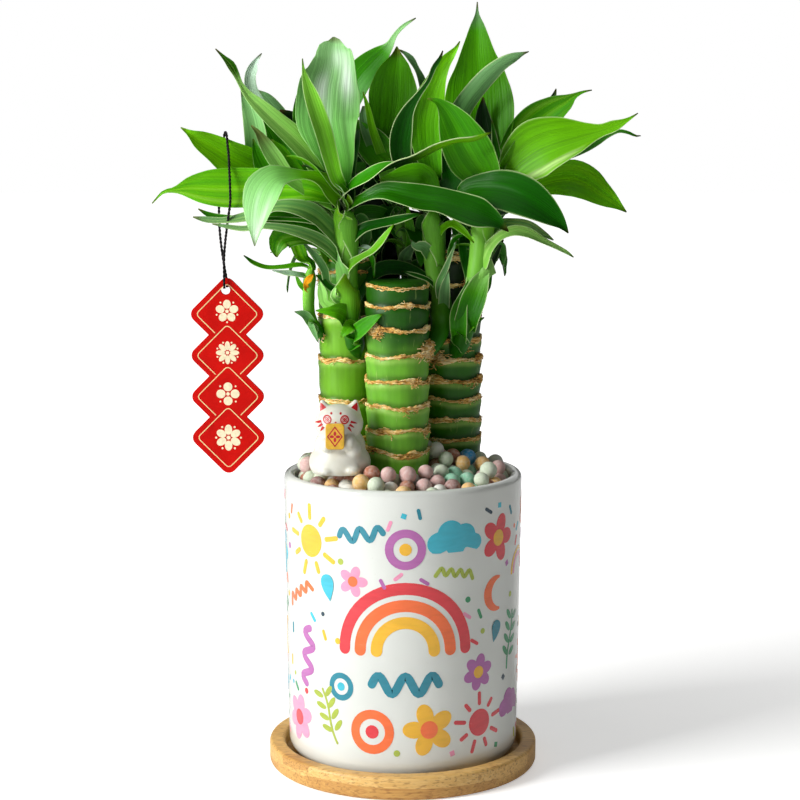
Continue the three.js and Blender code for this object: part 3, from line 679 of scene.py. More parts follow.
def makeStrands(material):
    draw = random.Random(caneLook["seed"])
    points, leans, sizes = [], [], []

    def addStrand(cane, angle, z, messy, size):
        points.append(onCane(cane, angle, cane["radius"] + 0.35, z))
        along = Vector((math.cos(angle), math.sin(angle), 0)) * draw.choice((-1, 1))
        away = Vector((math.sin(angle), -math.cos(angle), 0))
        lean = along * draw.uniform(0.5, 1.2) + away * draw.uniform(0.02, 0.25 + messy)
        lean.z = draw.uniform(-0.75, 0.35) * (0.6 + messy)
        leans.append(lean.normalized())
        sizes.append(size)

    for cane in canes.values():
        for number, z in enumerate(cane["rings"]):
            for k in range(caneLook["strandsPerRing"]):
                angle = draw.uniform(0, tau)
                level = ringLevel(z, angle, number) + draw.uniform(-0.9, 0.7)
                addStrand(cane, angle, level, 0.0, draw.uniform(0.35, 1.0))
    for name, degrees, z, spread, count, messy, size in [(row + usualTuft)[:7] for row in tufts]:
        for k in range(count):
            angle = math.radians(degrees) + draw.gauss(0, spread * 0.5) / canes[name]["radius"]
            level = z + draw.gauss(0, spread * 0.4)
            addStrand(canes[name], angle, level, messy, size * draw.uniform(0.5, 1.25))
    mesh = meshOf("sheathStrands", points)
    carry(mesh, "lean", leans)
    carry(mesh, "size", sizes)
    values = {"Seed": caneLook["seed"], "Finish": material}
    for part in ("Length", "Width", "Bend"):
        values["Strand " + part] = caneLook["strand" + part] * mm
    onRest(strandTree().grow(pieceOf("sheathStrands", mesh), values), "cane")


def makeCanes():
    green, fibre = caneFinish(), fibreFinish()
    for name, cane in canes.items():
        onRest(makeCaneSkin(name + "_skin", cane, green), "cane", name)
        onRest(makeBands(name + "_bands", cane, fibre), "cane")
    makeStrands(fibre)


makeCanes()
print("canes, their bands and strands grown")


# shoots: the stems of the solids, and their leaves drawn as they look from the front
# a look is (near the stem, towards the tip, underside, roughness)
leafLooks = {
    "bright": ("#419000", "#4ea002", "#6ba838", 0.36),
    "lime": ("#5e9e2c", "#68aa30", "#8cbf50", 0.36),
    "fresh": ("#78bc50", "#90ca68", "#8cbf50", 0.36),
    "paper": ("#c87e1c", "#e6a236", "#b87420", 0.6),
    "pale": ("#7cb454", "#96c47c", "#98bb80", 0.42),
    # silverSheen and whiteSheen paint the pale sheen of glossy leaves into their colour: painted sheen
    "silverSheen": ("#64a448", "#9ac88e", "#9dbd94", 0.34),
    "whiteSheen": ("#8cba82", "#c4dcc8", "#bfd4c0", 0.38),
    "vivid": ("#58ac06", "#6cbe14", "#7ab440", 0.36),
    "sheen": ("#2a6a12", "#0e4604", "#3a7428", 0.24),
    "deep": ("#104f04", "#125006", "#37722a", 0.28),
    # dark and black are near-black greens for leaves deep in the crown: painted shade
    "dark": ("#062203", "#082a04", "#0e3410", 0.36),
    "black": ("#020902", "#041003", "#1c4a12", 0.5),
    "grey": ("#528442", "#6c9066", "#789a78", 0.4),
    "dull": ("#24660e", "#306f18", "#4c7c42", 0.38),
    "mid": ("#2a8000", "#358400", "#568e30", 0.36),
}


def leaf(at, look, seen, facing=((0, -1, 0.2),), **more):
    # at: how far up the stem. seen: the middle line as (across, up, behind the pot's axis, width), across and
    # up as the eye puts them on the plane through the axis. facing: where the upper side looks, root to tip
    # trim sets the pale rim, a painted edge highlight partly the leaf's paler margin; shade is painted shade
    # on one side; sheen is painted sheen
    usual = {
        "wide": 0, "plain": False, "hug": False, "root": 0, "open": 0.16, "wave": 0.05, "roll": 0.5,
        "under": None, "far": None, "turn": 0.5, "soft": 0.1, "stripes": 0, "edgeStripe": False,
        "shade": 0, "sheen": [], "dry": 0.03, "trim": 0.35,
    }
    return {**usual, "at": at, "look": look, "seen": seen, "facing": facing, **more}


# groups: how many, where on the stem, degrees round it, reach, rise or droop, width, form
shoots = {}
shoots["shoot_left_front"] = {
    "stem": [(-19, 1, 174), (-21, -7, 187), (-22.5, -9, 204), (-23, -10, 220), (-23.4, -10, 240)],
    "radius": 4.0,
    "groups": [
        (9, (0.9, 1), (50, 190), (14, 24), (16, 38), (9, 13), "rise"),
        (5, (0.6, 0.85), (0, 150), (10, 16), (8, 18), (7, 10), "droop"),
    ],
    "leaves": [
        leaf(0.92, "lime", [(-28.6, 242, -14, 11), (-34, 246.2, -17, 10), (-40.5, 248, -20, 8.6),
            (-47.5, 248.4, -23, 10), (-53, 247.4, -26, 14.5), (-56.6, 243.6, -28.5, 17.6),
            (-58.8, 238, -30, 15.5), (-60.2, 231.3, -31, 10.6), (-60.9, 225.5, -31.5, 5),
            (-61.5, 219.8, -31.5, 0.5)], [(0.6, -1, 0.3), (0.5, -1, 0.5), (0, -0.5, 1), (-0.4, -0.8, 0.7),
            (-0.4, -1, 0.3), (-0.35, -1, 0)], far="silverSheen", turn=0.45, soft=0.24, trim=0.5, open=0.02,
            hug=True, sheen=[(0.95, 0, 0.1, 0.6, 0.6), (0.82, 0.5, 0.1, 0.2, 0.35),
            (0.78, -0.2, 0.1, 0.1, 0.25)]),
        leaf(0.9, "bright", [(-37, 242, -9, 9), (-50, 243, -7, 15.5), (-64, 243.2, -5.5, 18),
            (-73, 243, -5, 18), (-81, 243.3, -4.5, 15), (-88, 243.6, -4, 9.5), (-94.5, 242.9, -4, 2.6),
            (-99, 242, -4, 1.5), (-103.8, 237.4, -4, 0.6)], [(0.05, -1, 0.45)], stripes=0.7, roll=0.9,
            hug=True),
        leaf(1, "silverSheen", [(-26.2, 247, -9, 10), (-27.3, 256, -9, 14.5), (-29.6, 264, -8.5, 20.5),
            (-31.2, 271.5, -7.5, 25.8), (-30.8, 280, -6, 26.2), (-30.4, 285, -5, 25),
            (-29.3, 290, -3.5, 20.6), (-28.4, 296, -2, 16.4), (-28.7, 300, -0.6, 13), (-28.2, 302.9, 0.5, 7),
            (-28.4, 305.3, 1.5, 0.8)], [(0.1, -1, 0.1)], roll=0, wave=0.07,
            sheen=[(0.66, 0.25, 0.1, 0.2, 0.85), (0.5, 0.1, 0.09, 0.16, 0.5), (0.74, -0.6, 0.12, 0.2, 0.9),
            (0.86, -0.2, 0.06, 0.3, 0.5)]),
        leaf(0.96, "fresh", [(-27.8, 248, -13, 6), (-30, 256, -14, 6.8), (-32.7, 266, -15, 7.8),
            (-35.7, 275, -15, 7.4), (-38.2, 282.5, -14.5, 5.8), (-40, 288.3, -14, 3.2),
            (-40.9, 292.4, -14, 1.3), (-41.2, 296.6, -14, 0.5)], [(0.35, -1, 0.2)], stripes=0.2, trim=0.9,
            shade=-0.2),
        leaf(0.97, "pale", [(-32, 247, -5, 8), (-38.5, 257.3, -4, 10), (-45, 264.3, -3, 10.5),
            (-52, 270.5, -1.5, 9), (-59, 277, 0, 6.6), (-63.8, 281.8, 1, 3.8), (-66.8, 286.4, 1, 2.2),
            (-68.4, 290, 1, 2.8), (-70.6, 293.8, 1, 3.8), (-73.4, 296.9, 1, 2), (-76.8, 300.5, 1, 0.5)],
            [(0.4, -1, 0.4)], far="deep", turn=0.83, soft=0.03, stripes=0.5),
        leaf(0.8, "dull", [(-38, 262, 3, 9), (-41, 272, 3, 9), (-42, 280, 3, 5), (-42.3, 284.5, 3, 1)]),
        leaf(0.85, "dark", [(-40, 264, 4, 9), (-45.5, 271.5, 5, 7), (-50.6, 275.7, 5, 0.8)],
            [(0.2, -1, 0.3)]),
        leaf(0.8, "bright", [(-40, 246.5, -6, 5), (-46.5, 253.5, -6, 5.5), (-50.8, 259, -6, 5),
            (-54.3, 263.6, -6, 0.8)], [(0.3, -1, 0.4)]),
        leaf(0.85, "pale", [(-40, 243, -8, 6), (-48, 248.8, -9, 6.5), (-53.3, 256.2, -9.5, 7),
            (-57, 262, -10, 5.5), (-59.8, 266.3, -10, 2.8), (-62.5, 269.4, -10, 0.8)], [(0.3, -1, 0.4)],
            dry=0.16),
        leaf(0.88, "sheen", [(-15, 240.3, -16, 5), (-8, 242.3, -19, 8), (0, 240.8, -22, 10.5),
            (8, 239, -24, 13), (16, 238, -26, 12.5), (24, 235.4, -27.5, 13.5), (31, 232.8, -29, 13.5),
            (36, 230.8, -29.5, 9.5), (40, 228.5, -30, 5), (43.8, 225.8, -30, 0.5)], [(0, -0.85, 0.6)],
            trim=0.9, hug=True),
        # its underside is painted near black: painted shade
        leaf(0.93, "mid", [(-21, 244, -12, 8), (-14, 248.5, -16, 9), (-5, 252, -20, 11), (5, 255, -22, 10),
            (14, 260, -23, 7), (22, 262.7, -24, 5), (30, 263.5, -24, 4), (36.5, 266.6, -24, 0.6)],
            [(-0.5, -0.8, 0.5), (-0.4, -0.5, 0.8), (-0.2, 0.1, 1), (-0.1, 0.45, 1), (0, 0.6, 1)],
            under="dark", far="bright", turn=0.62, soft=0.12, trim=1.3),
        leaf(0.5, "lime", [(-22.5, 211.5, -14, 4.5), (-17, 215.3, -15, 2.8), (-12.5, 217.8, -16, 3),
            (-9, 221.5, -18, 3.4), (-6.5, 225, -19, 2.4), (-3.7, 228.8, -20, 0.4)], [(-0.4, -1, 0.6)], trim=1,
            hug=True),
        leaf(0.55, "whiteSheen", [(-18.5, 217.5, -11, 2.4), (-16, 219.3, -11, 2.6), (-12.7, 218.6, -11, 0.6)],
            [(0, -0.8, 0.8)]),
        leaf(0.62, "grey", [(-33, 229.5, -12, 8), (-38, 233.3, -13, 9), (-45, 235.7, -13, 7),
            (-53, 236, -13, 5), (-65, 231.8, -14, 5), (-74, 230.3, -14, 3.2), (-82, 230.5, -14, 3),
            (-87, 231.8, -14, 0.6)], [(0, -0.9, 0.7)], trim=0.9, stripes=0.6, hug=True),
        leaf(0.7, "dull", [(-70, 231.5, -10, 2), (-80, 232.4, -10, 2.6), (-84.8, 235.2, -10, 0.5)],
            [(0, -0.9, 0.7)], trim=0.9),
        leaf(0.52, "grey", [(-29.5, 218, -13, 5.4), (-35, 222.2, -14, 5.6), (-42, 225.2, -15, 5),
            (-50, 227.2, -16, 4), (-58, 228, -17, 3), (-66, 226.9, -17, 2.6), (-73, 227.8, -17, 1.8),
            (-79, 228.9, -17, 0.5)], [(0, -0.9, 0.6)], trim=0.9, stripes=0.5),
        leaf(0.55, "dull", [(-36, 222.5, -9, 6), (-44, 224, -11, 8), (-50, 222.7, -12, 10),
            (-52, 219.3, -13, 6.8), (-52.4, 215.2, -13, 0.8)], [(0, -1, 0.5), (-0.3, -1, 0.1)], stripes=0.4),
        leaf(0.62, "mid", [(-34, 228, -7, 7), (-43, 230.5, -7, 8), (-50, 231.8, -7, 7),
            (-57, 230.5, -7, 2.5)], [(0, -1, 0.4)]),
        leaf(0.68, "deep", [(-17, 226.4, -13, 5.4), (-10, 228.7, -14, 5.4), (-3, 230.3, -15, 4.6),
            (3, 231.8, -16, 3), (7.7, 233, -16, 0.6)], [(0, -0.8, 0.8)], trim=0.9),
        leaf(0.16, "bright", [(-26, 191.6, -15, 9), (-31, 192.5, -17, 3.8), (-36.4, 192.9, -17, 0.6)],
            [(0, -1, 0.5)], root=10),
        leaf(0.1, "bright", [(-22, 186.5, -15, 5.5), (-24, 184, -17, 3.6), (-25.8, 181.7, -17, 0.6)],
            [(0, -1, 0.4)]),
        leaf(0.08, "mid", [(-18.5, 184.3, -17, 6.5), (-15, 187.2, -20, 5.8), (-11.5, 189.6, -22, 3.4),
            (-8.6, 191.4, -23, 0.6)], [(-0.2, -1, 0.3)], root=8),
        leaf(0.4, "grey", [(-31, 203.5, -8, 3), (-32.8, 210, -9, 3.6), (-36.2, 215.2, -9, 3.4),
            (-41.3, 221, -9, 0.8)], [(0.3, -1, 0.4)], trim=1.1),
        leaf(0.34, "deep", [(-31.5, 203.5, -9, 2.8), (-34, 206.3, -9, 2.4), (-36.3, 207.8, -9, 0.5)],
            [(0.3, -1, 0.4)]),
        leaf(0.24, "pale", [(-32.4, 196, -7, 3.8), (-33.4, 200.5, -7, 4.2), (-34.6, 205.5, -7, 0.8)],
            [(-0.3, -1, 0.2)]),
        leaf(0.3, "pale", [(-28.8, 199, -13, 2.8), (-27.6, 203.4, -14, 0.6)], [(-0.3, -1, 0.2)], trim=1),
    ],
}
shoots["shoot_left_small"] = {
    "stem": [(-31, 6, 179), (-38.4, 2, 189), (-39.3, 1, 200), (-38, 0, 212)],
    "radius": 2.4,
    "leaves": [
        leaf(0.95, "bright", [(-43, 211.8, -1, 2.6), (-50, 211.1, -2, 2.4), (-57, 210.9, -3, 2.6),
            (-62, 212.7, -4, 2.2), (-66.2, 215.9, -4, 0.5)], [(0, -0.7, 0.8)], far="deep", turn=0.85),
        leaf(0.85, "whiteSheen", [(-43.5, 207.8, -3, 3.2), (-48, 208.4, -4, 3), (-54.3, 209.6, -6, 0.5)],
            [(0, -0.7, 0.8)], trim=0.8),
        leaf(0.3, "grey", [(-40.5, 191, -1, 3.8), (-45.2, 192.5, -2, 0.5)], [(-0.2, -1, 0.2)]),
        leaf(0.2, "grey", [(-38.4, 187.5, -1, 3), (-37, 184, -2, 2.4), (-35.4, 179.8, -2, 0.5)],
            [(-0.4, -1, 0.2)]),
        leaf(0.7, "paper", [(-40.4, 204.2, -3, 2), (-39, 206.2, -4, 2.8), (-37.2, 208.2, -4, 0.6)]),
        leaf(0.7, "bright", [(-43, 204.5, -1, 2.2), (-44.6, 208, -1, 0.5)], [(-0.4, -1, 0.2)]),
        leaf(1, "bright", [(-41.3, 214, 1, 5.4), (-43.5, 219.5, 2, 6), (-46, 226, 3, 6), (-49, 234, 4, 4),
            (-51, 241, 5, 0.8)], stripes=0.8),
    ],
}
shoots["shoot_left_back"] = {
    "stem": [(-25.5, 16, 176), (-30.4, 25, 190), (-33, 26, 215), (-34, 24, 238)],
    "radius": 3.4,
    "groups": [
        (9, (0.9, 1), (20, 170), (14, 28), (14, 36), (9, 14), "rise"),
        (9, (0.6, 0.95), (-60, 200), (10, 18), (8, 22), (8, 12), "droop"),
    ],
    "leaves": [
        leaf(0.95, "vivid", [(-50, 247, 14, 13), (-60, 250.5, 10, 16), (-70, 255, 6, 15), (-77, 259.4, 4, 12),
            (-84, 263.5, 2, 8), (-88.5, 266.6, 1, 2.6), (-91.5, 268.6, 1, 0.5)], [(0, -1, 0.35)],
            stripes=0.3),
        leaf(0.9, "mid", [(-46, 250, 16, 14), (-51.5, 262, 17, 13), (-56.5, 272, 18, 9),
            (-60.2, 280.4, 18, 0.8)], [(0.2, -1, 0.2)]),
        leaf(1, "whiteSheen", [(-48, 262, 20, 8), (-57, 274, 20, 7.5), (-62.3, 284, 20, 5.4),
            (-62.7, 289.5, 20, 4.8), (-61.3, 293.3, 20, 4), (-59.8, 296.2, 20, 2), (-57.8, 298.7, 20, 0.5)],
            [(0.2, -1, 0.2)]),
        leaf(0.98, "grey", [(-44, 262, 25, 9), (-51.5, 272.5, 26, 9), (-56.8, 279.5, 27, 7),
            (-60.8, 283.6, 27, 1.6)], [(0.2, -1, 0.3)]),
        leaf(0.9, "pale", [(-50, 240, 13, 5), (-60, 243, 12, 7), (-60.4, 249, 12, 7.4), (-60.6, 258, 12, 9),
            (-61, 266, 12, 9.4), (-62.6, 274, 12, 7.4), (-64.6, 280, 12, 4.4), (-66.3, 284, 12, 1)],
            [(0.2, -1, 0)], far="silverSheen", turn=0.5, trim=0.9),
        leaf(0.9, "mid", [(-52, 245, 9, 10), (-57, 251.5, 8, 8.6), (-60, 257.5, 8, 4.8),
            (-61.8, 264, 8, 0.6)], [(0.2, -1, 0.3)]),
        leaf(1, "mid", [(-24, 276, 14, 11), (-19, 287, 13, 13), (-14, 293, 12.5, 12), (-9, 298, 12, 8.4),
            (-5.5, 301.8, 12, 3.8), (-3, 306.3, 12, 1.9), (0.5, 309.8, 12, 1.7), (5.3, 312.9, 12, 0.5)],
            [(-0.2, -1, 0.2)], far="silverSheen", turn=0.8, soft=0.05),
        leaf(0.9, "mid", [(-43, 256, 42), (-58, 263, 62)], [(0.1, -0.3, 1)], wide=16),
        leaf(0.97, "bright", [(-30, 268, 45), (-28, 284, 70)], [(0, -0.6, 0.8)], wide=17),
        leaf(0.85, "dull", [(-53, 244, 38), (-75, 238, 48)], [(0, 0.2, 1)], wide=15),
        leaf(1, "mid", [(-30, 268, 33), (-28, 294, 40)], [(0.2, 1, 0)], wide=16),
        leaf(0.5, "dull", [(-43, 221, 34), (-55, 217, 40)], [(0, 0.4, 1)], wide=6),
    ],
}
shoots["shoot_back"] = {
    "stem": [(-6, 30, 180), (2, 24.6, 194), (2.5, 18, 206), (0, 15, 220), (-3, 13, 238)],
    "radius": 3.2,
    "groups": [
        (9, (0.9, 1), (0, 180), (12, 24), (10, 28), (9, 14), "rise"),
        (13, (0.55, 0.95), (-60, 240), (8, 17), (8, 24), (8, 12), "droop"),
    ],
    "leaves": [
        leaf(1, "bright", [(-7, 260, 10, 11), (-6, 269, 10, 16), (-4.7, 277, 10, 19.5),
            (-4.2, 283, 9.5, 20.5), (-3.6, 289, 9, 17), (-2.9, 294.5, 9, 11), (-2.6, 298.6, 9, 4.2),
            (-2.5, 301.5, 9, 0.6)], [(0.15, -1, 0.15)], shade=-0.55, dry=0.06),
        leaf(0.95, "deep", [(11, 268, 15, 6), (10, 279, 15, 5), (7.6, 288.3, 14, 3.2),
            (5.6, 292.6, 13.5, 2.2), (3.3, 296.4, 13, 2.8), (0.4, 299, 13, 1.5), (-2.2, 300.3, 12, 0.5)],
            far="grey", turn=0.75),
        leaf(0.9, "pale", [(-5, 252, 7, 12), (-10, 258.3, 7, 14), (-15, 264.3, 7, 12.5), (-18, 269, 7, 6),
            (-18.9, 272, 7, 0.6)], [(0, -1, 0.3)], far="mid", turn=0.5, soft=0.3, trim=0.9),
        leaf(0.97, "grey", [(-12.5, 262, 7, 6), (-14.8, 268, 7, 5.6), (-15.9, 273.4, 7, 4.4),
            (-16, 277.4, 7, 1.5)]),
        leaf(0.97, "lime", [(-10.5, 262, 6, 4), (-12.8, 269, 6, 3.2), (-14.3, 276, 6, 2.4),
            (-16.4, 283.2, 6, 0.5)]),
        leaf(0.72, "dull", [(-9, 233, 6, 6), (-17, 233.4, 4, 6), (-22, 231.5, 3, 1)], [(0, -1, 0.4)]),
        leaf(0.45, "grey", [(1, 215, 9, 6), (5.4, 221.5, 8, 0.8)], trim=1),
        leaf(0.55, "bright", [(3.4, 221.5, 9, 4), (2.6, 229.5, 8, 3.6), (2, 236, 8, 1)]),
        # near-black leaves behind the stems, filling the deep shade in the crown: painted shade
        leaf(0.7, "black", [(-6, 226, 24, 13), (-12, 224, 24, 17), (-18, 218, 24, 15), (-22, 210, 24, 9),
            (-24, 202, 24, 1)], [(0, -1, 0)]),
        leaf(0.5, "black", [(-4, 217, 22, 13), (-8, 212, 22, 17), (-11, 205, 22, 13), (-12, 198, 22, 1)],
            [(0, -1, 0)]),
        leaf(0.8, "black", [(3, 229, 21, 12), (8, 225, 21, 16), (11, 217, 21, 15), (12, 208, 21, 8),
            (12.5, 201, 21, 1)], [(0, -1, 0)]),
        leaf(0.95, "black", [(-3, 240, 22, 14), (-10, 239, 22, 18), (-17, 236, 22, 14), (-23, 231, 22, 1)],
            [(0, -1, 0)]),
        leaf(0.95, "black", [(4, 241, 22, 13), (11, 241, 22, 17), (19, 238, 22, 14), (26, 232, 22, 1)],
            [(0, -1, 0)]),
        leaf(0.95, "dark", [(-6, 246, 20, 14), (-12, 252, 20, 18), (-17, 260, 20, 12), (-20, 267, 20, 1)],
            [(0, -1, 0)]),
        leaf(0.95, "bright", [(-3, 268, 42), (0, 289, 70)], [(0, -0.5, 0.8)], wide=18),
        leaf(0.9, "mid", [(9, 259, 46), (20, 266, 76)], [(0, -0.2, 1)], wide=17),
    ],
}
shoots["shoot_centre"] = {
    "stem": [(6.5, -5, 172), (15.5, 1, 185), (16, 3, 197), (13.2, 5, 212), (12.4, 5, 236)],
    "radius": 4.1, "knob": 1.1,
    "groups": [
        (8, (0.9, 1), (20, 160), (12, 22), (12, 30), (8, 12), "rise"),
        (4, (0.6, 0.9), (20, 160), (8, 14), (6, 16), (7, 10), "droop"),
    ],
    "leaves": [
        leaf(1, "bright", [(11.5, 252, 0, 9), (9.7, 262, -3, 12.5), (9.3, 271, -4, 14), (10.7, 279, -5, 13.5),
            (13, 286, -6, 9.4), (14.8, 290.5, -6.5, 7), (16.8, 294.5, -6.5, 5.6), (19.8, 298.2, -6.5, 3.6),
            (21.8, 300.8, -6.5, 1.8), (23.3, 303.6, -6.5, 0.5)], [(0.1, -1, 0.2)], far="vivid", turn=0.5,
            soft=0.3, trim=0.8),
        leaf(0.95, "deep", [(1, 250, -3, 8), (-1.5, 260, -5, 9.5), (-0.5, 268.5, -6, 8.8),
            (2, 275.5, -7, 5.4), (6, 281.5, -8, 2.8), (10.3, 287.5, -8.5, 2), (12.6, 293, -9, 2.2),
            (15, 296.6, -9, 1.6), (16.3, 299.8, -9, 0.5)], [(0.4, -1, 0.2)], trim=1.2),
        leaf(0.9, "bright", [(8, 248.5, -6, 10), (0, 248, -8, 9), (-6, 247.3, -9, 4.4), (-10, 247, -10, 0.6)],
            [(0, -0.9, 0.5)]),
        leaf(0.92, "sheen", [(22, 239, -9, 8), (28, 242.5, -13, 13), (35, 243, -17, 17),
            (42.5, 241.8, -19.5, 19), (50, 239, -21.5, 18), (57, 235, -23, 14), (62.5, 231, -24, 9),
            (66, 228, -24.5, 4.4), (68.6, 225.1, -25, 0.5)], [(-0.2, -0.7, 0.8), (0.1, -0.9, 0.6),
            (0.3, -1, 0.4)], far="deep", turn=0.5, soft=0.3, trim=0.8, dry=0.02, hug=True,
            sheen=[(0.35, 0.5, 0.22, 0.14, 0.07), (0.5, 0.2, 0.2, 0.06, 0.05),
            (0.45, 0.75, 0.2, 0.06, 0.06)]),
        leaf(0.97, "mid", [(17, 261, 2, 9), (21.5, 271, 0, 9), (25.5, 278, -2, 8.4), (30, 284, -3, 8),
            (35.5, 290, -4.5, 7.2), (41, 294.7, -5.5, 5.4), (46, 297.2, -6, 3.8), (49.5, 298.7, -6, 1.3),
            (51.6, 299.4, -6, 0.4)], [(0, 1, 0.2)], under="grey", trim=1),
        leaf(0.85, "deep", [(20, 247, 1, 9), (18, 252.5, 1, 5.6), (16.8, 258, 1, 1)]),
        leaf(0.75, "lime", [(20, 229, -4, 3.4), (25, 226, -8, 2.8), (29.4, 221.2, -11, 0.6)], [(0, -1, 0.5)]),
        leaf(0.42, "deep", [(11, 205.3, 0, 2), (5, 207.7, -1, 2), (-0.5, 209.4, -1, 0.4)], [(0, -1, 0.6)],
            trim=1.2),
        leaf(0.4, "deep", [(8, 207.5, 4, 4), (0, 210.5, 4, 6), (-8, 210.5, 3, 6.4), (-14.4, 206.5, 1, 5.4),
            (-17.4, 200, -1, 3.4), (-18.4, 194, -2, 0.6)], [(0, -1, 0.3)]),
        leaf(0.32, "grey", [(15, 203.5, -3, 3), (17.6, 210, -3, 2.6), (22.2, 221.8, -3, 0.5)], trim=1.2),
        leaf(0.62, "grey", [(8.4, 219.4, -1, 5), (5, 219.8, -2, 3), (3.4, 222.3, -2, 0.6)], trim=1.2),
        leaf(0.22, "grey", [(17.5, 202, -3, 4.4), (19, 209.5, -4, 0.6)], trim=1),
    ],
}
shoots["shoot_right"] = {
    "stem": [(21.5, 6, 172), (26, -1, 186), (29, -2, 198), (31.4, -2, 213), (32.6, -1, 226), (33.5, 0, 238)],
    "radius": 4.1,
    "groups": [
        (10, (0.9, 1), (-10, 150), (14, 24), (10, 30), (9, 13), "rise"),
        (5, (0.6, 0.9), (20, 190), (8, 16), (6, 18), (7, 10), "droop"),
    ],
    "leaves": [
        leaf(0.97, "lime", [(43.5, 249, -3, 12), (49, 254.6, -5, 20), (56, 259.3, -7, 24.5),
            (64, 262.5, -8.5, 21.5), (71, 264.4, -9, 16), (77, 266, -9, 9.4), (82, 267.3, -9, 5.6),
            (87, 269, -9, 5), (90.7, 270.6, -9, 2.8), (93.5, 272.2, -9, 1.5), (96.7, 274.4, -9, 0.5)],
            [(0, -1, 0.35), (0, -0.95, 0.4), (0.05, -0.9, 0.5)], trim=1, roll=0.8, edgeStripe=True),
        leaf(0.9, "vivid", [(48, 243, 1, 7), (56, 244.6, 2, 9), (63, 246.6, 2, 13), (69.5, 247, 1.5, 16.5),
            (75.5, 245, 0.5, 16), (81, 241.6, -0.5, 12), (86, 238.4, -1.5, 7.4), (89.5, 236, -2, 3.4),
            (92.6, 233.8, -2, 0.5)], [(0.1, -1, 0.45)], far="bright", turn=0.7, soft=0.3, stripes=0.4,
            hug=True),
        leaf(0.95, "mid", [(44, 257, 4, 11), (50, 265, 5, 15), (56, 271, 5, 15.5), (62, 275.6, 4.5, 12),
            (67, 278.8, 4, 7.4), (70.5, 281.4, 4, 2.6), (74, 283, 4, 1.2), (77.6, 283.8, 4, 0.5)],
            [(0, -1, 0.35)], stripes=0.5, shade=0.5),
        leaf(0.97, "deep", [(50, 264, 14, 8), (57.5, 274, 14, 6), (61.6, 280.3, 15, 3),
            (62.9, 284.4, 15, 0.5)], [(0, -1, 0.3)]),
        leaf(1, "bright", [(34.5, 248, 2, 13), (33.5, 257, 5, 20), (32, 267, 8, 27), (31.2, 277, 10, 29),
            (31, 285, 11, 26.5), (31, 291, 11, 22), (30.6, 298, 11, 15.4), (30.5, 304, 11, 10.6),
            (30.4, 310, 11, 6), (30.3, 314.8, 11, 1.7), (30.35, 319.4, 11, 0.5)], [(0, -1, 0.12)], far="grey",
            turn=0.87, soft=0.1, shade=-0.35),
        leaf(0.9, "bright", [(33, 249, -6, 15), (28.7, 256, -8, 20), (24.6, 263.5, -10, 19),
            (21, 270.5, -11, 14), (17.5, 276, -11.5, 7.4), (14, 279.2, -12, 2.8), (10, 280.4, -12, 0.5)],
            [(-0.2, -1, 0.3)], far="mid", turn=0.4, soft=0.4, stripes=0.1, trim=0.8),
        leaf(0.92, "dark", [(38, 250, 4, 8), (36, 258, 5, 9), (33.7, 267, 6, 9), (32.8, 274, 6, 5.8),
            (32.9, 281, 6, 0.6)], [(0, -1, 0)]),
        leaf(0.92, "dull", [(39.4, 252, 1, 3), (38.2, 260, 1, 3.4), (36.6, 271.2, 1, 0.6)], [(0.3, -1, 0)],
            trim=1),
        leaf(0.6, "pale", [(32.5, 212, -5, 6.4), (35.4, 218.5, -6, 5.2), (40, 223.6, -7, 4),
            (46, 226, -8, 4.8), (52, 225, -9, 4.8), (58, 222, -10, 3.4), (64, 219.2, -11, 2.4),
            (68, 217, -11, 1.8), (70.9, 215.1, -11, 0.5)], [(-0.3, -1, 0.4), (0, -0.8, 0.8)], stripes=0.8,
            trim=1, hug=True),
        leaf(0.7, "grey", [(40, 228.6, 0, 5), (46, 229, -1, 5), (52, 227.8, -2, 5), (58, 224.6, -3, 3.6),
            (62.5, 222.2, -4, 0.6)], [(0, -0.8, 0.7)], stripes=0.9, trim=1),
        leaf(0.93, "dull", [(58, 254, 9, 9), (72, 259.5, 8, 8), (80, 262.6, 8, 4), (85, 265.3, 7, 1.7),
            (89, 267, 7, 1.7), (93, 266.2, 6, 1.5), (96, 265, 6, 1), (98, 265.2, 6, 0.4)], [(0, -0.8, 0.7)]),
        leaf(0.16, "dull", [(27, 190, -6.5, 10), (29.6, 198, -7.4, 10.4), (32.6, 205.5, -6.6, 7),
            (35.6, 211.3, -5, 1)], [(-0.1, -1, 0.1)], far="pale", turn=0.8, soft=0.3, trim=1, root=9),
        leaf(0.08, "mid", [(23.4, 185, -5.4, 7.4), (23.6, 192, -6, 7.2), (25.6, 199.6, -5.6, 4),
            (27.8, 206, -5, 0.8)], [(-0.3, -1, 0.1)], far="dull", turn=0.7, trim=1, root=7),
        leaf(0.4, "deep", [(26, 219, 3, 6), (25, 231, 6, 0.8)], [(0, -1, 0)]),
        leaf(0.45, "dark", [(36.6, 212, 1, 3), (41.6, 222.6, 2, 0.8)], [(0.2, -1, 0)]),
        leaf(0.3, "dull", [(35, 203, -1, 3), (36.8, 208, 0, 0.8)], [(0.4, -1, 0)]),
        leaf(0.12, "bright", [(29, 187, -5, 3.6), (34, 190, -6, 0.6)], [(0, -1, 0.6)]),
        leaf(0.9, "bright", [(58, 254.6, 26), (78, 262.5, 46)], [(0.1, -0.2, 1)], wide=17),
        leaf(0.97, "mid", [(46, 262.6, 32), (56, 269.5, 58)], [(-0.2, -0.4, 0.8)], wide=16),
        leaf(0.85, "dull", [(52, 239, 24), (66, 229.5, 44)], [(0.2, 0.2, 1)], wide=13),
    ],
}
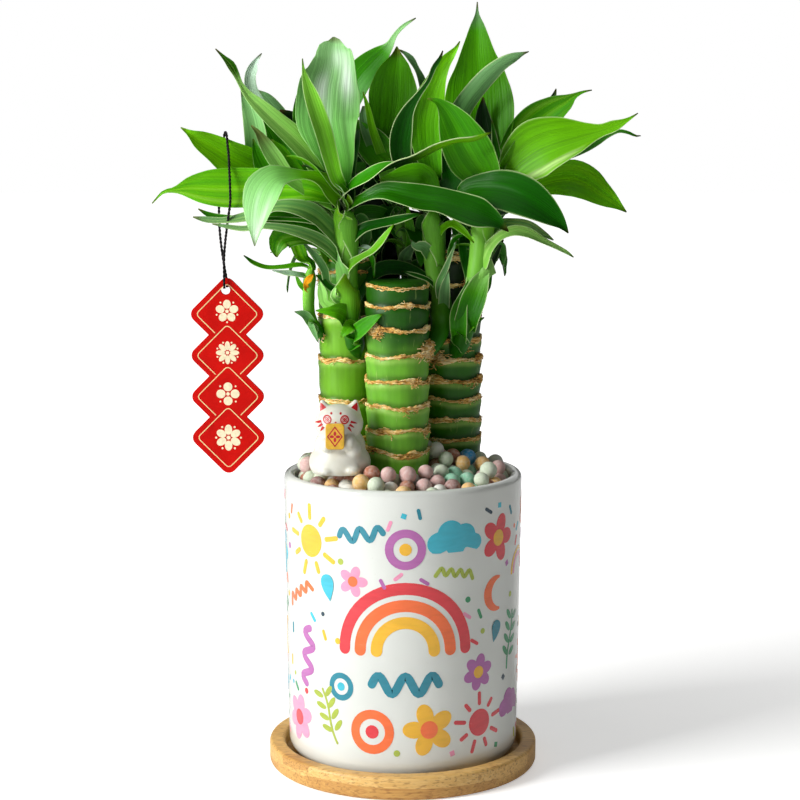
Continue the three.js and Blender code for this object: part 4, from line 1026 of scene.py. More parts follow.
shoots["shoot_right_back"] = {
    "stem": [(24.5, 23, 177), (29.6, 31.4, 190), (29, 34, 212), (26, 35, 236)],
    "radius": 3.3,
    "groups": [
        (10, (0.9, 1), (-20, 200), (14, 30), (12, 30), (9, 14), "rise"),
        (10, (0.55, 0.95), (-60, 240), (10, 18), (8, 22), (8, 12), "droop"),
    ],
    "leaves": [
        leaf(1, "bright", [(26, 266.5, 46), (25, 293, 56)], [(0, 1, -0.2)], wide=16),
        leaf(0.9, "mid", [(37, 253.5, 58), (47, 257.7, 82)], [(0, -0.1, 1)], wide=16),
        leaf(0.9, "dull", [(16, 247, 58), (7, 243.2, 84)], [(0, 0.1, 1)], wide=15),
        leaf(0.97, "mid", [(33, 266.4, 38), (35, 288.3, 42)], [(-0.4, 1, 0)], wide=16),
        leaf(0.6, "dull", [(45, 237.4, 54), (57, 234.4, 70)], [(0.2, 0.3, 1)], wide=9),
    ],
}
# over: a green mixed in more on each stem's +x side and less on its -x side, painted light and shade across
# the stem
stemLook = {
    "low": "#24541a", "high": "#98d070", "over": "#327626", "rough": 0.36, "sides": 20, "rows": 48,
    "scarStep": 9, "scar": 0.1, "knobAt": 0.34,
}
bladeForm = {
    "fold": 0.16, "curl": 0.2, "rootWidth": 8.5, "tipWidth": 0.4, "lift": 0.14, "thick": 0.6,
    "edgeThick": 0.26, "sheath": 19, "wrap": 1.75, "across": 16, "perMm": 0.5, "rim": 0.45, "seed": 3,
    "stripe": "#b9d98a", "paleEdge": "#cfe6a8", "shine": "#e4f0e4", "dryTip": "#4a3a1c",
    "groupLooks": ["deep", "mid", "dull", "dark", "mid"],
    # how far out, how far up and how wide a group leaf is at each of its points
    "rise": [(0.3, 0.4, 0.75), (0.58, 0.78, 1.0), (0.85, 0.96, 0.7), (1.02, 1.02, 0.3), (1.14, 1.04, 0.05)],
    "droop": [(0.35, 0.22, 0.7), (0.7, 0.1, 1.0), (0.92, -0.35, 0.85), (1.0, -0.75, 0.4), (1.02, -1.0, 0.05)],
}


def fromFront(across, up, behind):  # the point seen there on the plane through the pot's axis
    eyeX, eyeY, eyeZ = studio["eye"]
    reach = 1 + behind / -eyeY
    return (eyeX + (across - eyeX) * reach, behind, eyeZ + (up - eyeZ) * reach)


class Skin:  # faces, and for each point its place, tone, mark on the leaf and share of pale rim
    def __init__(self):
        self.spots, self.faces = [], []

    def piece(self, name, material):
        points, tones, marks, rims = zip(*self.spots)
        mesh = meshOf(name, points, self.faces)
        carry(mesh, "tone", tones)
        carry(mesh, "rim", rims)
        corners = np.empty(len(mesh.loops), int)
        mesh.loops.foreach_get("vertex_index", corners)
        layer = mesh.uv_layers.new(name="blade")
        layer.data.foreach_set("uv", np.array(marks, float)[corners].ravel())
        return pieceOf(name, mesh, material)


def tinted(tone, code, share, rough=None):
    return mixTone(tone, paint(code)[:3] + (tone[3] if rough is None else rough,), share)


def lookTone(name, under, along):
    near, far, below, roughness = leafLooks[name]
    tone = paint(below) if under else mixTone(paint(near), paint(far), along)
    return tone[:3] + (roughness,)


def stemTone(share, shadedSide):
    look = stemLook
    tone = mixTone(paint(look["low"]), paint(look["high"]), eased(share * 1.25 - 0.1))
    # more over towards +x and less towards -x: painted light and shade across the stem
    return mixTone(tone, paint(look["over"]), 0.25 + 0.25 * shadedSide)[:3] + (look["rough"],)


def stemReach(share):  # how thick the stem is along its length
    return (1 + 0.2 * share**3) * (1 - 0.62 * eased((share - 0.82) / 0.18))


def addStem(skin, shoot):
    line = lineThrough(shoot["stem"])
    total = runLength(line)[-1]
    sides, rows, step = stemLook["sides"], stemLook["rows"], stemLook["scarStep"]
    distances = np.linspace(0, total, rows)
    side = np.array([1.0, 0, 0])
    for number, (centre, way) in enumerate(zip(pointsAt(line, distances), directionsAt(line, distances))):
        share = number / (rows - 1)
        side = unit(side - way * side.dot(way))
        other = np.cross(way, side)
        radius = shoot["radius"] * (0.5 + 0.5 * eased(share / 0.12 + 0.1)) * stemReach(share)
        radius += stemLook["scar"] * hump(distances[number] % step - step / 2, 0.8)  # where leaves were
        radius += shoot.get("knob", 0) * hump(share - stemLook["knobAt"], 0.05)
        for angle in [tau * k / sides for k in range(sides)]:
            out = side * math.cos(angle) + other * math.sin(angle)
            mark = (angle / tau * 0.35, share * total / 10)
            skin.spots.append((centre + out * radius, stemTone(share, out[0]), mark, 0))
    skin.faces += tubeFaces(0, rows, sides)
    return line, total


def leafGuides(blade, root):
    # the leaf's middle line past its root, as points with the width there
    seen = blade["seen"]
    if blade["plain"]:
        return [np.array(spot, float) for spot in seen]
    if len(seen[0]) == 4:
        return [np.array(fromFront(a, u, b) + (w,)) for a, u, b, w in seen]
    line = lineThrough([np.array(root)] + [np.array(fromFront(*s)) for s in seen])
    guides = []
    for share in (0.2, 0.4, 0.58, 0.74, 0.88, 1.0):
        rise = math.sin(min(share / 0.4, 1) * math.pi / 2) ** 1.4
        fall = math.cos(max(share - 0.4, 0) / 0.6 * math.pi / 2) ** 1.3
        width = max(bladeForm["tipWidth"], blade["wide"] * rise * fall)
        guides.append(np.append(pointsAt(line, [share * runLength(line)[-1]])[0], width))
    return guides


def facingAt(blade, share):
    wishes = [unit(np.array(f, float)) for f in blade["facing"]]
    spot = share * (len(wishes) - 1)
    low = min(int(spot), len(wishes) - 1)
    high = min(low + 1, len(wishes) - 1)
    return unit(wishes[low] + (wishes[high] - wishes[low]) * eased(spot - low))


def leafTone(blade, share, s, under, clasp):
    if under and blade["under"]:
        tone = lookTone(blade["under"], False, share)
    else:
        tone = lookTone(blade["look"], under, share)
    if blade["far"]:
        there = eased((share - blade["turn"] + blade["soft"]) / (2 * blade["soft"]))
        tone = mixTone(tone, lookTone(blade["far"], under, share), there)
    if blade["stripes"]:
        band = (0.5 + 0.5 * math.cos(9.4 * s + 0.3)) * (0.35 + 0.65 * eased(s + 0.7)) * eased(share * 4)
        tone = tinted(tone, bladeForm["stripe"], blade["stripes"] * 0.6 * band)
    if blade["edgeStripe"]:
        band = hump(s + 0.76, 0.12) * eased(share * 3) * eased((0.75 - share) * 5)
        tone = tinted(tone, bladeForm["paleEdge"], 0.75 * band)
    if blade["shade"]:  # painted shade, darker towards one side
        dark = tuple(c * 0.35 for c in tone[:3]) + (tone[3],)
        tone = mixTone(tone, dark, abs(blade["shade"]) * eased(math.copysign(1.1, blade["shade"]) * s))
    # painted sheen: pale patches with a lower roughness
    for along, aside, length, width, strength in blade["sheen"]:
        patch = strength * hump(share - along, length) * hump(s - aside, width)
        tone = tinted(tone, bladeForm["shine"], patch, 0.22)
    tone = mixTone(tone, stemTone(blade["at"], 0.3), clasp * 0.75)
    dried = eased((share - 1 + blade["dry"] * 1.5) / blade["dry"]) * 0.75
    return tinted(tone, bladeForm["dryTip"], dried, 0.7)


def leafPath(blade, stem, number, thickness):
    # the leaf's middle line with widths, from its sheath on the stem to its tip
    form, (line, stemLength) = bladeForm, stem
    at = blade["at"] * stemLength
    centre, way = pointsAt(line, [at])[0], directionsAt(line, [at])[0]
    guides = leafGuides(blade, centre)
    toFirst = guides[0][:3] - centre
    reach = np.linalg.norm(toFirst)
    out = unit(toFirst - way * toFirst.dot(way))
    snug = thickness * stemReach(min(blade["at"], 0.8)) * (1.04 + 0.035 * (number % 4))
    widest = max(g[3] for g in guides)
    rootWidth = blade["root"] or min(widest, form["rootWidth"])
    sheath = min(form["sheath"] if blade["hug"] else 2.5, at - 0.5)
    if blade["hug"]:
        shares = (1.0, 0.66, 0.33, 0.0)
        base = [np.append(pointsAt(line, [at - sheath * s])[0] + out * snug, rootWidth) for s in shares]
    else:
        base = [np.append(pointsAt(line, [at - sheath])[0], rootWidth * 0.8)]
        base.append(np.append(centre + out * thickness * stemReach(blade["at"]) * 0.5, rootWidth))
    lift = centre + way * form["lift"] * reach + unit(toFirst) * 0.2 * reach
    if min(np.linalg.norm(lift - base[-1][:3]), np.linalg.norm(lift - guides[0][:3])) > 2.5:
        base.append(np.append(lift, (rootWidth + guides[0][3]) / 2))
    return lineThrough(base + guides), out, snug, sheath, widest


def leafTurns(blade, ways, distances, out, sheath, free):
    # the side that faces up along the leaf, and how far it turns to where the leaf should face
    up, ups, turns = -out, [], []
    for distance, way in zip(distances, ways):
        up = unit(up - way * up.dot(way))
        wish = facingAt(blade, min(max((distance - sheath) / free, 0), 1))
        wish = unit(wish - way * wish.dot(way))
        ups.append(up)
        turns.append(math.atan2(np.cross(up, wish).dot(way), up.dot(wish)))
    turns = np.unwrap(turns)
    return ups, turns - tau * round(turns[len(turns) // 3] / tau)


def addLeaf(skin, blade, stem, number, thickness):
    form, across, hug, opens = bladeForm, bladeForm["across"], blade["hug"], blade["open"]
    path, out, snug, sheath, widest = leafPath(blade, stem, number, thickness)
    total = runLength(path)[-1]
    free = total - sheath
    rows = max(16, int(free * form["perMm"]) + 10)
    distances = np.linspace(0, total, rows)
    places, ways = pointsAt(path, distances), directionsAt(path[:, :3], distances)
    ups, turns = leafTurns(blade, ways, distances, out, sheath, free)
    draw = random.Random(form["seed"] * 100 + number * 7 + int(widest * 10))
    phase, beat = draw.uniform(0, 6.28), draw.uniform(1.2, 2.2)
    shift = draw.uniform(0, 40)
    foot = stemTone(blade["at"] - sheath / stem[1], out[0])
    start = len(skin.spots)
    for distance, (*centre, width), way, up, turn in zip(distances, places, ways, ups, turns):
        late = sheath + (opens + 0.06) * free - sheath * 0.7
        turn = turn * eased((distance - sheath * 0.7) / max(late, 1))
        up = up * math.cos(turn) + np.cross(way, up) * math.sin(turn)
        cross = np.cross(up, way)
        share = max(0.0, (distance - sheath) / free)
        half = max(width, form["tipWidth"]) / 2
        clasp = 1 - eased((distance - sheath * 0.8) / (opens * free + 3)) if hug else 0.0
        begun = eased(distance / (sheath * 0.9))
        wrap = form["wrap"] * (0.25 + 0.75 * begun)
        half = half + (snug * wrap - half) * clasp
        bend = form["curl"] + (wrap - form["curl"]) * clasp
        bend += 0 if hug else 0.7 * (1 - eased(distance / (0.25 * free + 2)))
        bend += blade["roll"] * eased((share - 0.86) / 0.1)
        for under in (False, True):
            for k in range(across, -1, -1) if under else range(across + 1):
                s = math.sin(math.pi / 2 * (1 - 2 * k / across))
                ripple = blade["wave"] * 2 * math.sin(phase + beat * 6.28 * share + s) * s * s
                y = half / bend * (1 - math.cos(bend * s))
                y += half * (1 - clasp) * (form["fold"] * abs(s) ** 1.15 + ripple)
                thick = form["thick"] + (form["edgeThick"] - form["thick"]) * abs(s) ** 3
                y += (-0.5 if under else 0.5) * thick * min(1.0, (1 - share) * 9 + 0.5)
                tone = mixTone(leafTone(blade, share, s, under, clasp), foot, (1 - begun) if hug else 0.0)
                mark = s * min(math.sqrt(widest * half * 2), half * 4.4) / 20 + shift
                # pale rim along the edges: a painted edge highlight, partly the leaf's own paler margin
                paleRimAndGlint = blade["trim"] * eased(1 - half * (1 - abs(s)) / form["rim"])
                paleRimAndGlint *= 1 - eased((share - 0.85) / 0.1)
                point = centre + cross * (half / bend * math.sin(bend * s)) + up * y
                skin.spots.append((point, tone, (mark, distance / 10), paleRimAndGlint))
    skin.faces += tubeFaces(start, rows, 2 * (across + 1))


def groupLeaves(groups, line, draw):
    # simple arching leaves round the stem, which fill the crown
    made = []
    for count, along, (low, high), *spans, form in groups:
        for k in range(count):
            at = draw.uniform(*along)
            turn = math.radians(low + (high - low) * (k + draw.uniform(0.2, 0.8)) / count)
            out = np.array([math.cos(turn), math.sin(turn), 0])
            reach, rise, wide = [draw.uniform(*span) for span in spans]
            root = pointsAt(line, [at * runLength(line)[-1]])[0]
            spots = [(*(root + out * reach * r + [0, 0, rise * u]), wide * w) for r, u, w in bladeForm[form]]
            facing = [(-out[0] * 0.9, -out[1] * 0.9 - 0.05, 0.5)]
            if form == "droop":
                facing = [(0, 0, 1), out * 0.8 + [0, 0, 0.6], out]
            look = draw.choice(bladeForm["groupLooks"])
            made.append(leaf(at, look, spots, facing, plain=True, trim=0.3))
    return made


def leafFinish():
    green = Finish("livingLeaf")
    mark = green.node("UVMap", {"uv_map": "blade"})
    bands = green.between(green.cloud((8, 0.12, 1), 1.0, vector=mark), 0.35, 0.65)
    veins = green.between(green.cloud((17, 0.15, 1), 2.0, vector=mark), 0.35, 0.65)
    ribs = green.cloud((38, 0.4, 1), 3.0, vector=mark)
    strength = 0.53 + bands * 0.17 + veins * 0.23 + ribs * 0.3 + green.cloud(70) * 0.25
    colour = green.shaded(green.attribute("tone"), strength)
    # the pale rim: a painted edge highlight, partly the leaf's paler margin
    colour = green.vivid(green.blend(green.attribute("rim", "Fac") * 0.8, colour, "#cde0ae"), 1.2)
    rough = green.attribute("tone", "Alpha") + ribs * 0.1
    return green.skin(colour, rough, veins * 0.6 + ribs * 0.6, 0.35, 0.0004, Specular_IOR_Level=0.16)


def makeShoots():
    material = leafFinish()
    for name, shoot in shoots.items():
        skin = Skin()
        stem = addStem(skin, shoot)
        blades = shoot["leaves"] + groupLeaves(shoot.get("groups", []), stem[0], random.Random(name))
        for number, blade in enumerate(blades):
            addLeaf(skin, blade, stem, number, shoot["radius"])
        onRest(skin.piece(name + "_leafy", material), "leaf", name)


makeShoots()
print("shoots grown")


# clay balls
clayBalls = {
    "low": 3.1, "high": 3.75, "count": 265, "seed": 21, "passes": 260, "wall": 44.6, "floor": 113,
    "wallLevel": 130.2, "middleLevel": 137.4, "flattening": 0.06, "shown": 4.2,
    "spread": 41, "dropped": (116, 134), "fall": 0.12, "push": 0.32, "above": 12,
}
seat = {"x": -25.2, "y": -24, "z": 128.8, "radius": 12}
ballShades = [
    ("#c3cfb6", 0.28), ("#dcdcd2", 0.19), ("#cba6a0", 0.16), ("#a96a50", 0.17),
    ("#dfb36c", 0.09), ("#96706a", 0.05), ("#86c2a2", 0.04), ("#2f8fc4", 0.02),
]


def heaped(place):  # how much higher the layer is there than at the wall
    b = clayBalls
    share = np.linalg.norm(place[:, :2], axis=1) / b["wall"]
    return (b["middleLevel"] - b["wallLevel"]) * (1 - share**2)


def packBalls():
    # balls dropped between the wall and the canes, pushed apart until they lie at rest
    b = clayBalls
    draw = np.random.default_rng(b["seed"])
    size = draw.uniform(b["low"], b["high"], b["count"])
    angle, share = draw.uniform(0, tau, b["count"]), np.sqrt(draw.uniform(0, 1, b["count"]))
    height, share = draw.uniform(*b["dropped"], b["count"]), share * b["spread"]
    place = np.stack([np.cos(angle) * share, np.sin(angle) * share, height], 1)
    reach = size[:, None] + size[None, :]
    for _ in range(b["passes"]):
        place[:, 2] -= b["fall"]
        away = place[:, None, :] - place[None, :, :]
        far = np.linalg.norm(away, axis=2) + np.eye(b["count"]) * 99
        push = np.maximum(reach - far, 0)
        place += (away / far[:, :, None] * push[:, :, None] * b["push"]).sum(axis=1)
        for cane in canes.values():
            off = place[:, :2] - (cane["x"], cane["y"])
            gap = np.linalg.norm(off, axis=1)
            short = np.maximum(cane["radius"] + 0.3 + size - gap, 0)
            place[:, :2] += off / np.maximum(gap, 0.1)[:, None] * short[:, None]
        gap = np.linalg.norm(place[:, :2], axis=1)
        over = np.maximum(gap + size - b["wall"], 0)
        place[:, :2] -= place[:, :2] / np.maximum(gap, 0.1)[:, None] * over[:, None]
        place[:, 2] = np.maximum(place[:, 2], b["floor"] + heaped(place) + size)
    place[:, 2] += np.percentile(b["wallLevel"] + heaped(place) - (place[:, 2] + size), b["above"])
    under = np.hypot(place[:, 0] - seat["x"], place[:, 1] - seat["y"]) < seat["radius"] - 1
    place[under, 2] = np.minimum(place[under, 2], seat["z"] - size[under] + 0.4)
    return place, size


def ballTree():
    g = Scatter("balls", {"Ball Detail": "Int", "Flattening": "Float"})
    ball = {"Radius": 1.0, "Subdivisions": g.given["Ball Detail"]}
    ball = g.node("GeometryNodeMeshIcoSphere", None, ball)
    ball = g.node("GeometryNodeSetShadeSmooth", None, {"Geometry": ball})
    size = g.field("size")
    squat = size * g.chance(1 - g.given["Flattening"], 1.0)
    turn = g.chance((0, 0, 0), (6.28, 6.28, 6.28))
    g.close(ball, turn, g.node("CombineXYZ", None, {0: size, 1: squat, 2: squat}))
    return g


def clayFinish():
    clay = Finish("firedClay")
    dust = clay.cloud(700, 4.0)
    pits = clay.between(clay.cloud(1500), 0.62, 0.75)
    light = clay.blend(clay.between(dust, 0.4, 0.7) * 0.3, clay.attribute("shade"), "#efece6")
    return clay.skin(clay.blend(pits * 0.25, light, "#6b5a50"), 0.9, dust * 0.8 - pits * 0.5, 0.5, 0.00025)


def makeBalls():
    place, size = packBalls()
    draw = random.Random(clayBalls["seed"])
    shades = draw.choices([s for s, _ in ballShades], [w for _, w in ballShades], k=len(size))
    upper = place[:, 2] + size > clayBalls["wallLevel"] + heaped(place) - clayBalls["shown"]
    tree = ballTree()
    values = {"Flattening": clayBalls["flattening"], "Seed": clayBalls["seed"], "Finish": clayFinish()}
    layers = [("clayBallsTop", upper, 4, ["clay_balls"]), ("clayBallsUnder", ~upper, 3, [])]
    for name, chosen, detail, nodes in layers:
        mesh = meshOf(name, place[chosen])
        carry(mesh, "size", size[chosen] * mm)
        carry(mesh, "shade", [paint(shades[s]) for s in np.nonzero(chosen)[0]])
        onRest(tree.grow(pieceOf(name, mesh), {"Ball Detail": detail, **values}), "clay", *nodes)
        print(name, chosen.sum(), "balls")


makeBalls()


# growing mix, hidden under the balls
def soilFinish():
    soil = Finish("growingMix")
    crumbs = soil.cloud(420, 5.0)
    colour = soil.ramp(crumbs, (0.35, "#2c1f16"), (0.55, "#4a3626"), (0.75, "#6d5440"))
    return soil.skin(colour, 0.95, crumbs, 0.8, 0.001)


dressed(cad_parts["growing_mix"], soilFinish())


# flat shapes for prints and paint: drawn in mm on a plane, laid on a surface afterwards
inkColours = {
    "red": "#d9303a", "orange": "#f06a2c", "yellow": "#eeb420", "teal": "#157f92", "cyan": "#34b3c8",
    "purple": "#b061a6", "green": "#a3b43c", "leaf": "#2f8f5b", "pink": "#ea93b4", "navy": "#1e3a4a",
}


class Print:  # an ink is one of the names above, or the number of a material
    def __init__(self):
        self.spots, self.faces, self.inks = [], [], []

    def put(self, spot, lift):
        self.spots.append((*spot, lift))
        return len(self.spots) - 1

    def face(self, corners, ink):
        self.faces.append(corners)
        self.inks.append(list(inkColours).index(ink) if isinstance(ink, str) else ink)

    def stroke(self, path, width, ink=0, closed=False):
        line = np.array(path, float)
        steps = np.roll(line, -1, axis=0) - np.roll(line, 1, axis=0)
        if not closed:
            steps[0], steps[-1] = line[1] - line[0], line[-1] - line[-2]
        ways = steps / np.linalg.norm(steps, axis=1, keepdims=True)
        left = np.stack([-ways[:, 1], ways[:, 0]], axis=1) * width / 2
        rows = [[self.put(p + n * side, 0) for side in (1, 0, -1)] for p, n in zip(line, left)]
        for (a, b, c), (d, e, f) in zip(rows, rows[1:] + (rows[:1] if closed else [])):
            self.face((b, e, d, a), ink)
            self.face((c, f, e, b), ink)
        if closed:
            return
        ends = ((rows[0][::-1], line[0], -ways[0]), (rows[-1], line[-1], ways[-1]))
        for row, point, way in ends:  # round caps
            side = np.array([-way[1], way[0]])
            turns = np.linspace(math.pi / 2, -math.pi / 2, 9)[1:-1]
            rim = [point + (way * math.cos(t) + side * math.sin(t)) * width / 2 for t in turns]
            rim = [row[0], *(self.put(spot, 0) for spot in rim), row[2]]
            for a, b in zip(rim, rim[1:]):
                self.face((row[1], b, a), ink)

    def fill(self, centre, outline, ink=0, rings=2, layer=0):
        # outline: points round the centre, counter-clockwise, all seen from it
        middle = np.array(centre, float)
        ways = (np.array(outline, float) - middle) / rings
        hub = self.put(middle, layer)
        rows = [[self.put(middle + way * r, layer) for way in ways] for r in range(1, rings + 1)]
        for k in range(len(outline)):
            j = (k + 1) % len(outline)
            self.face((hub, rows[0][k], rows[0][j]), ink)
            for low, high in zip(rows, rows[1:]):
                self.face((low[k], high[k], high[j], low[j]), ink)

    def disc(self, u, v, radius, count, ink=0, rings=2, squash=1.0, turn=0.0, layer=0):
        self.fill((u, v), circle(u, v, radius, count, squash, turn), ink, rings, layer)

    def laid(self, name, onto, inks, thick):
        # onto turns u, v and a height above the surface into a point, all in mm
        piece = pieceOf(name, meshOf(name, [onto(*spot) for spot in self.spots], self.faces), *inks)
        piece.data.polygons.foreach_set("material_index", self.inks)
        modify(piece, "WELD", merge_threshold=0.002 * mm)
        modify(piece, "SOLIDIFY", thickness=thick * mm, offset=-1)
        settled(piece).data.set_sharp_from_angle(angle=math.radians(35))
        return piece


def spun(u, v, x, y, turn):  # x and y turned, and put at u, v
    return (u + x * math.cos(turn) - y * math.sin(turn), v + x * math.sin(turn) + y * math.cos(turn))


def circle(u, v, radius, count=28, squash=1.0, turn=0.0):
    angles = [tau * k / count for k in range(count)]
    return [spun(u, v, radius * math.cos(a), radius * squash * math.sin(a), turn) for a in angles]


# the pot's print: plain cheerful shapes all round it
potPrint = {
    "lift": 0.1, "layerLift": 0.05, "thick": 0.16, "seed": 9, "confetti": 170, "clear": 3.0, "tries": 6000,
}


def inkFinish(name, code):
    ink = Finish("ink" + name.capitalize())
    brush = ink.cloud((120, 120, 420), 3.0, 0.8)
    base = paint(code)
    deep = tuple(c * 0.93 for c in base[:3]) + (1.0,)
    pale = tuple(min(1.0, c * 1.04 + 0.005) for c in base[:3]) + (1.0,)
    colour = ink.ramp(brush, (0.35, deep), (0.5, base), (0.7, pale))
    return ink.skin(colour, 0.2 + brush * 0.1, Coat_Weight=0.5, Coat_Roughness=0.08)


def drawArches(p, u, v, size, inks):
    for number, ink in enumerate(inks):
        p.stroke(arc(u, v, size - number * size * 0.27, 0, 180, 26), size * 0.19, ink)


def drawBloom(p, u, v, size, petals, ink, heart, turn=0.0):
    for angle in [turn + tau * k / petals for k in range(petals)]:
        middle = spun(u, v, size * 0.58, 0, angle)
        p.disc(*middle, size * 0.44, 20, ink, 2, 0.74, angle)
    p.disc(u, v, size * 0.34, 18, heart, layer=1)


def drawSun(p, u, v, size, ink):
    p.disc(u, v, size * 0.52, 28, ink, 3)
    for k in range(9):
        reach = np.linspace(size * 0.74, size * (1.0 if k % 2 else 1.12), 4)
        p.stroke([spun(u, v, r, 0, tau * k / 9 + 0.2) for r in reach], size * 0.16, ink)


def drawCloud(p, u, v, size, ink):
    outline = []
    lumps = [
        (-0.62, -0.08, 0.36), (-0.18, 0.2, 0.46), (0.34, 0.12, 0.4), (0.72, -0.12, 0.28), (0, -0.2, 0.34),
    ]
    for way in circle(0, 0, 1, 56):
        far = 0.1
        for x, y, r in lumps:
            along = x * way[0] + y * way[1]
            inside = r * r - (x * x + y * y - along * along)
            if inside > 0:
                far = max(far, along + math.sqrt(inside))
        outline.append((u + size * way[0] * far, v + size * max(way[1] * far, -0.4)))
    p.fill((u, v), outline, ink, 4)


def drawSprig(p, u, v, size, ink, turn=0.0):
    stalk = [spun(u, v, 0.06 * size * math.sin(3 * t), t * size, turn) for t in np.linspace(-1, 1, 14)]
    p.stroke(stalk, size * 0.09, ink)
    for k in range(8):
        side = 1 if k % 2 else -1
        middle = spun(u, v, side * 0.27 * size, (k // 2 * 0.42 - 0.39) * size, turn)
        p.disc(*middle, size * 0.25, 16, ink, 2, 0.42, turn + math.pi / 2 - side * 0.95)


def drawDrop(p, u, v, size, ink, turn=0.0):
    angles = [tau * k / 24 for k in range(24)]
    drop = [(0.8 * math.sin(a) * math.sin(a / 2) ** 1.2 * size, -math.cos(a) * size) for a in angles]
    p.fill((u, v), [spun(u, v, x, y, turn) for x, y in drop[::-1]], ink, 3)


def drawMoon(p, u, v, size, ink):
    outer = np.array(arc(u, v, size, 70, 290, 20))
    inner = np.array(arc(u + size * 0.42, v, size * 0.82, 98, 262, 20))
    rows = [[p.put(spot, 0) for spot in row] for row in (outer, (outer + inner) / 2, inner)]
    for low, high in zip(rows, rows[1:]):
        for k in range(20):
            p.face((low[k], low[k + 1], high[k + 1], high[k]), ink)


def drawRing(p, u, v, size, ink, heart):
    p.stroke(circle(u, v, size * 0.78, 30)[::-1], size * 0.4, ink, closed=True)
    p.disc(u, v, size * 0.3, 14, heart)


def drawZigzag(p, u, v, size, ink, turn=0.0):
    high = 0.22 * size
    spots = [spun(u, v, (k / 4 - 1) * size, high if k % 2 else -high, turn) for k in range(9)]
    line = pointsAt(np.array(spots), np.linspace(0, runLength(np.array(spots))[-1], 41))
    line[1:-1] = (line[:-2] + line[1:-1] + line[2:]) / 3
    p.stroke(line, size * 0.2, ink)


def drawWave(p, u, v, size, ink, turn=0.0):
    shares = [k / 36 for k in range(37)]
    line = [spun(u, v, (s - 0.5) * size * 2, size * 0.26 * math.sin(tau * 2.5 * s), turn) for s in shares]
    p.stroke(line, size * 0.26, ink)


# what is drawn, where round the pot (mm from the front, to the right) and how high, and how large
motifs = [
    (drawArches, 1, 60, 26, ["red", "orange", "yellow"]), (drawRing, -27, 43.5, 6, "teal", "cyan"),
    (drawWave, 1, 46, 14, "teal"), (drawBloom, 34, 48.5, 7.6, 6, "purple", "yellow", 0.3),
    (drawSun, -43, 102, 13, "yellow"), (drawWave, -17.5, 107.5, 9.5, "teal", 0.12),
    (drawRing, 1, 102, 8.5, "purple", "yellow"), (drawCloud, 22, 105, 12.5, "cyan"),
    (drawBloom, 45, 103, 10, 5, "red", "yellow"), (drawArches, 66, 86, 9, ["yellow", "pink"]),
    (drawZigzag, -52, 79, 10, "orange", 0.5), (drawDrop, -33, 84, 5.6, "cyan", 0.2),
    (drawMoon, 44, 80, 7.5, "orange"), (drawSprig, 56, 58, 12, "leaf", -0.2),
    (drawWave, -46, 53, 12, "purple", 1.45), (drawSprig, -33, 30, 11.5, "green", 0.35),
    (drawBloom, -54, 25, 10, 6, "pink", "red", 0.3), (drawRing, -13, 26, 9.5, "orange", "red"),
    (drawBloom, 11, 27, 11, 5, "yellow", "orange", 0.6), (drawSun, 35, 27, 11, "red"),
    (drawCloud, 58, 30, 10.5, "purple"), (drawDrop, 44, 64, 4.6, "teal", -0.3),
    (drawZigzag, 22, 91.5, 8.5, "green", -0.15), (drawBloom, -21, 88, 6.4, 5, "pink", "orange"),
    (drawMoon, -72, 56, 8, "yellow"), (drawBloom, -76, 92, 10, 6, "cyan", "yellow"),
    (drawArches, -90, 32, 14, ["teal", "cyan", "green"]), (drawSprig, -98, 72, 12, "green", -0.25),
    (drawRing, -112, 104, 8, "red", "orange"), (drawCloud, -124, 62, 12, "pink"),
    (drawWave, -118, 24, 13, "orange", 0.1), (drawSun, -142, 92, 12, "orange"),
    (drawBloom, -146, 34, 10.5, 5, "red", "yellow", 0.2), (drawZigzag, 140, 104, 11, "teal", 0.2),
    (drawArches, 152, 60, 18, ["purple", "pink", "yellow"]), (drawSprig, 128, 32, 12, "leaf", 0.3),
    (drawBloom, 118, 82, 10.5, 6, "yellow", "red"), (drawRing, 106, 50, 8, "red", "orange"),
    (drawDrop, 98, 104, 6, "cyan"), (drawCloud, 92, 24, 9.5, "green"),
    (drawWave, 86, 74, 12, "pink", 1.3), (drawBloom, 76, 110, 7.5, 5, "orange", "yellow"),
    (drawSun, 78, 46, 10, "orange"),
]


def makePotPrint():
    p = Print()
    for shape, *values in motifs:
        shape(p, *values)
    draw = random.Random(potPrint["seed"])
    taken = [(u, v, size) for _, u, v, size, *_ in motifs]
    girth = tau * pot["rim"]
    for _ in range(potPrint["tries"]):
        u, v = draw.uniform(-155, 155), draw.uniform(15, 117)
        apart = [math.hypot((u - a + girth / 2) % girth - girth / 2, v - b) - c for a, b, c in taken]
        if min(apart) < potPrint["clear"] or len(taken) == len(motifs) + potPrint["confetti"]:
            continue
        ink, kind, angle = draw.randrange(len(inkColours)), draw.random(), draw.uniform(-1.2, 1.2)
        if kind < 0.5:
            p.stroke([spun(u, v, 0, t, -angle) for t in np.linspace(-1.6, 1.6, 4)], 1.5, ink)
        elif kind < 0.85:
            p.disc(u, v, draw.uniform(0.9, 1.4), 14, ink, 1)
        else:
            p.disc(u, v, 1.5, 4, ink, 1, 1.0, angle)
        taken.append((u, v, 1.2))

    def onto(u, v, layer):
        angle = u / pot["rim"]
        out = potRadius(v) + potPrint["lift"] + layer * potPrint["layerLift"]
        return (out * math.sin(angle), -out * math.cos(angle), v)

    inks = [inkFinish(name, code) for name, code in inkColours.items()]
    onRest(p.laid("potPrint", onto, inks, potPrint["thick"]), "glazed_ceramic")
    print("pot printed,", len(p.faces), "faces")


makePotPrint()


